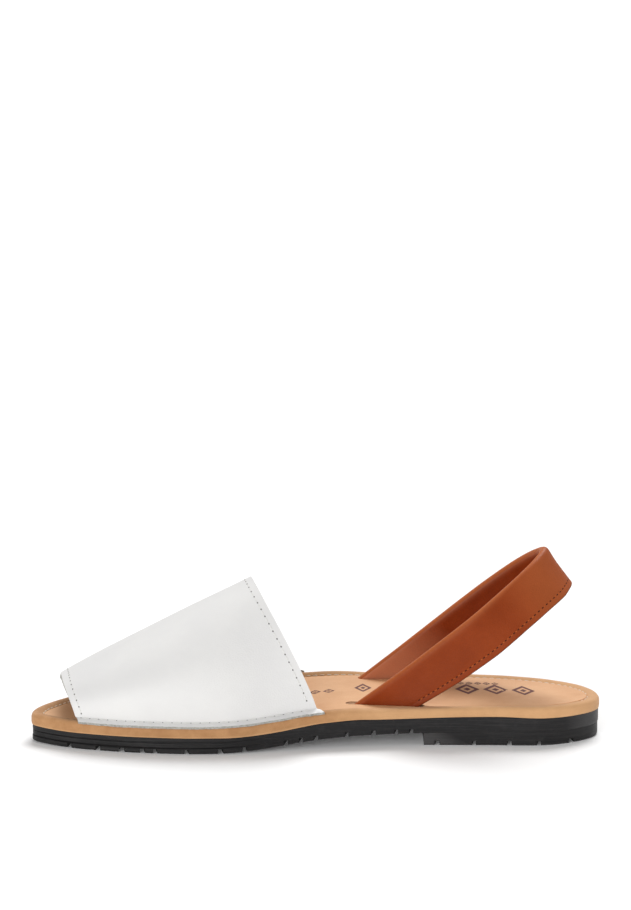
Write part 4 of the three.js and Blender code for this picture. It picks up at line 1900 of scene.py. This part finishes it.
@dataclass
class Studio:
    """White floor, soft lights and the camera."""

    target: tuple[float, float, float] = (0.0001, 0.00245, 0.035)
    distance: float = 1.7
    elevation: float = math.radians(14.0)
    focal_pixels: float = 3735.0
    frame_size: tuple[int, int] = (631, 910)
    target_pixel: tuple[float, float] = (316.0, 655.0)
    sensor: float = 36.0
    floor_size: float = 60.0
    paper_size: float = 400.0
    world_strength: float = 0.4
    floor_glow: float = 0.06
    softness: float = 34.0
    # Azimuth and elevation in degrees, and strength.
    back_light: tuple[float, float, float] = (-106.0, 54.0, 2.3)
    front_light: tuple[float, float, float] = (65.0, 14.0, 1.35)

    def camera(self) -> None:
        """Makes the camera at the photograph's angle."""
        data = bpy.data.cameras.new("camera")
        data.sensor_width = self.sensor
        data.lens = self.focal_pixels * self.sensor / max(self.frame_size)
        data.clip_end = 100
        made = link("camera", data)
        away = Vector((0, math.cos(self.elevation), math.sin(self.elevation)))
        made.location = Vector(self.target) + away * self.distance
        below = self.target_pixel[1] - self.frame_size[1] / 2
        beside = self.target_pixel[0] - self.frame_size[0] / 2
        pitch = self.elevation - math.atan(below / self.focal_pixels)
        yaw = math.pi + math.atan(beside / self.focal_pixels)
        made.rotation_euler = (math.pi / 2 - pitch, 0, yaw)
        bpy.context.scene.camera = made

    def _sun(self, name: str, azimuth: float, elevation: float, strength: float) -> None:
        """Adds a wide soft light from far away.

        Args:
            name: name of the light.
            azimuth: where it comes from, in degrees from the toe towards the inner side.
            elevation: its height in degrees.
            strength: its power per square metre.
        """
        data = bpy.data.lights.new(name, "SUN")
        data.angle = math.radians(self.softness)
        data.energy = strength
        made = link(name, data)
        turn, lift = math.radians(azimuth), math.radians(elevation)
        flat = math.cos(lift)
        away = Vector((math.cos(turn) * flat, math.sin(turn) * flat, math.sin(lift)))
        made.rotation_euler = (-away).to_track_quat("-Z", "Y").to_euler()

    def lights(self) -> None:
        """Makes the soft lights and the white surroundings."""
        world = bpy.data.worlds.new("studio")
        world.use_nodes = True
        background = world.node_tree.nodes["Background"]
        background.inputs["Color"].default_value = (1.0, 1.0, 1.0, 1.0)
        background.inputs["Strength"].default_value = self.world_strength
        bpy.context.scene.world = world
        self._sun("back_light", *self.back_light)
        self._sun("front_light", *self.front_light)
        view = bpy.context.scene.view_settings
        view.view_transform = "Standard"
        view.look = "None"

    def floor(self) -> None:
        """Makes the plain white floor."""
        shader = Shader("studio_floor")
        paper = shader.noise(self.paper_size)
        pale, white = tint(253, 253, 253), tint(255, 255, 255)
        shader.set(
            Base_Color=shader.dapple(paper, (0.3, 0.7), 1.0, pale, white),
            Roughness=0.95,
            Specular_IOR_Level=0.1,
            Emission_Color=white,
            Emission_Strength=self.floor_glow,
        )
        half = self.floor_size / 2
        corners = [(-half, -half, 0), (half, -half, 0), (half, half, 0), (-half, half, 0)]
        mesh = bpy.data.meshes.new("studio_floor")
        mesh.from_pydata(corners, [], [(0, 1, 2, 3)])
        mesh.materials.append(shader.material)
        link("studio_floor", mesh)

    def build(self) -> None:
        """Makes the whole studio."""
        self.floor()
        self.lights()
        self.camera()


def finishes() -> Finishes:
    """Makes every finish once.

    Returns:
        Materials by name.
    """
    leathers = (
        Leather(
            "white_leather",
            tint(233, 232, 230), tint(228, 227, 226), tint(214, 212, 208),
            mottle_size=30.0, cell_size=1.1, relief=0.025, roughness=(0.42, 0.5), specular=0.35,
        ),
        Leather(
            "raw_white_edge",
            tint(206, 206, 200), tint(164, 162, 154), tint(120, 110, 100),
            mottle_size=1.2, cell_size=0.5, relief=0.12, nap=0.2, roughness=(0.8, 0.95),
            specular=0.15, sheen=0.2,
        ),
        Leather(
            "suede_back",
            tint(214, 203, 188), tint(196, 184, 168), tint(180, 168, 150),
            mottle_size=8.0, cell_size=0.6, relief=0.06, nap=0.12, roughness=(0.85, 0.95),
            specular=0.15, sheen=0.35,
        ),
        # Its second tone lightens the raw bottom edge, and is painted light behind the vamp.
        Leather(
            "tan_nubuck",
            tint(199, 151, 106), tint(181, 133, 89), tint(236, 186, 136),
            mottle_size=6.0, cell_size=0.7, relief=0.05, nap=0.1, roughness=(0.75, 0.92),
            specular=0.2, sheen=0.15,
        ),
        Leather(
            "sock_leather",
            tint(230, 180, 134), tint(216, 162, 116), tint(196, 146, 110),
            mottle_size=22.0, cell_size=0.8, relief=0.03, roughness=(0.5, 0.66), specular=0.3,
        ),
        # Cut leather of the sock, lightened as painted light so the strap slots show less shade.
        Leather(
            "sock_cut_lightened",
            tint(190, 150, 118), tint(164, 126, 98), tint(140, 108, 84),
            mottle_size=2.0, cell_size=0.5, relief=0.08, nap=0.1, roughness=(0.85, 0.95),
            specular=0.1,
        ),
        # Its second tone is a painted highlight on the rolled edge and painted light round the
        # heel.
        Leather(
            "cognac_leather",
            tint(146, 61, 21), tint(134, 53, 15), tint(196, 112, 66),
            mottle_size=16.0, cell_size=0.9, relief=0.045, roughness=(0.34, 0.5), specular=0.12,
        ),
        # Darker copy of the cognac leather: painted shade on the strap's inside faces, with
        # painted light at the far foot as its second tone.
        Leather(
            "cognac_shaded_inside",
            tint(128, 47, 9), tint(114, 39, 6), tint(214, 138, 102),
            mottle_size=16.0, cell_size=0.9, relief=0.045, roughness=(0.36, 0.52), specular=0.12,
        ),
        Leather(
            "cognac_cut",
            tint(120, 58, 36), tint(96, 46, 30), tint(150, 90, 60),
            mottle_size=1.5, cell_size=0.4, relief=0.1, nap=0.12, roughness=(0.75, 0.9),
            specular=0.2,
        ),
    )
    yarns = (
        Yarn("white_thread", tint(236, 235, 232), tint(216, 214, 210)),
        # The hole colours are painted shade in the stitch holes.
        Yarn("white_hole_shade", tint(128, 126, 124), tint(104, 102, 100)),
        Yarn("cream_thread", tint(240, 228, 210), tint(222, 204, 180)),
        Yarn("cognac_thread", tint(186, 98, 44), tint(150, 66, 24)),
        Yarn("cognac_hole_shade", tint(58, 24, 12), tint(44, 18, 10)),
        Yarn("stamp_ink", tint(112, 78, 76), tint(134, 98, 90), 0.8),
    )
    made = {finish.name: finish.material() for finish in (*leathers, *yarns)}
    rubber = Rubber()
    made[rubber.name] = rubber.material()
    return made


def main() -> None:
    """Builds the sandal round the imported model, and the studio."""
    logging.basicConfig(level=logging.INFO, format="%(message)s")
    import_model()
    Studio().build()
    finish = finishes()
    strap = SlingStrap()
    insole = Insole()
    Outsole().build(finish)
    Rand().build(finish)
    insole.build(finish, strap)
    FootbedMarks().build(finish, insole)
    Vamp().build(finish)
    strap.build(finish)


if __name__ == "__main__":
    main()
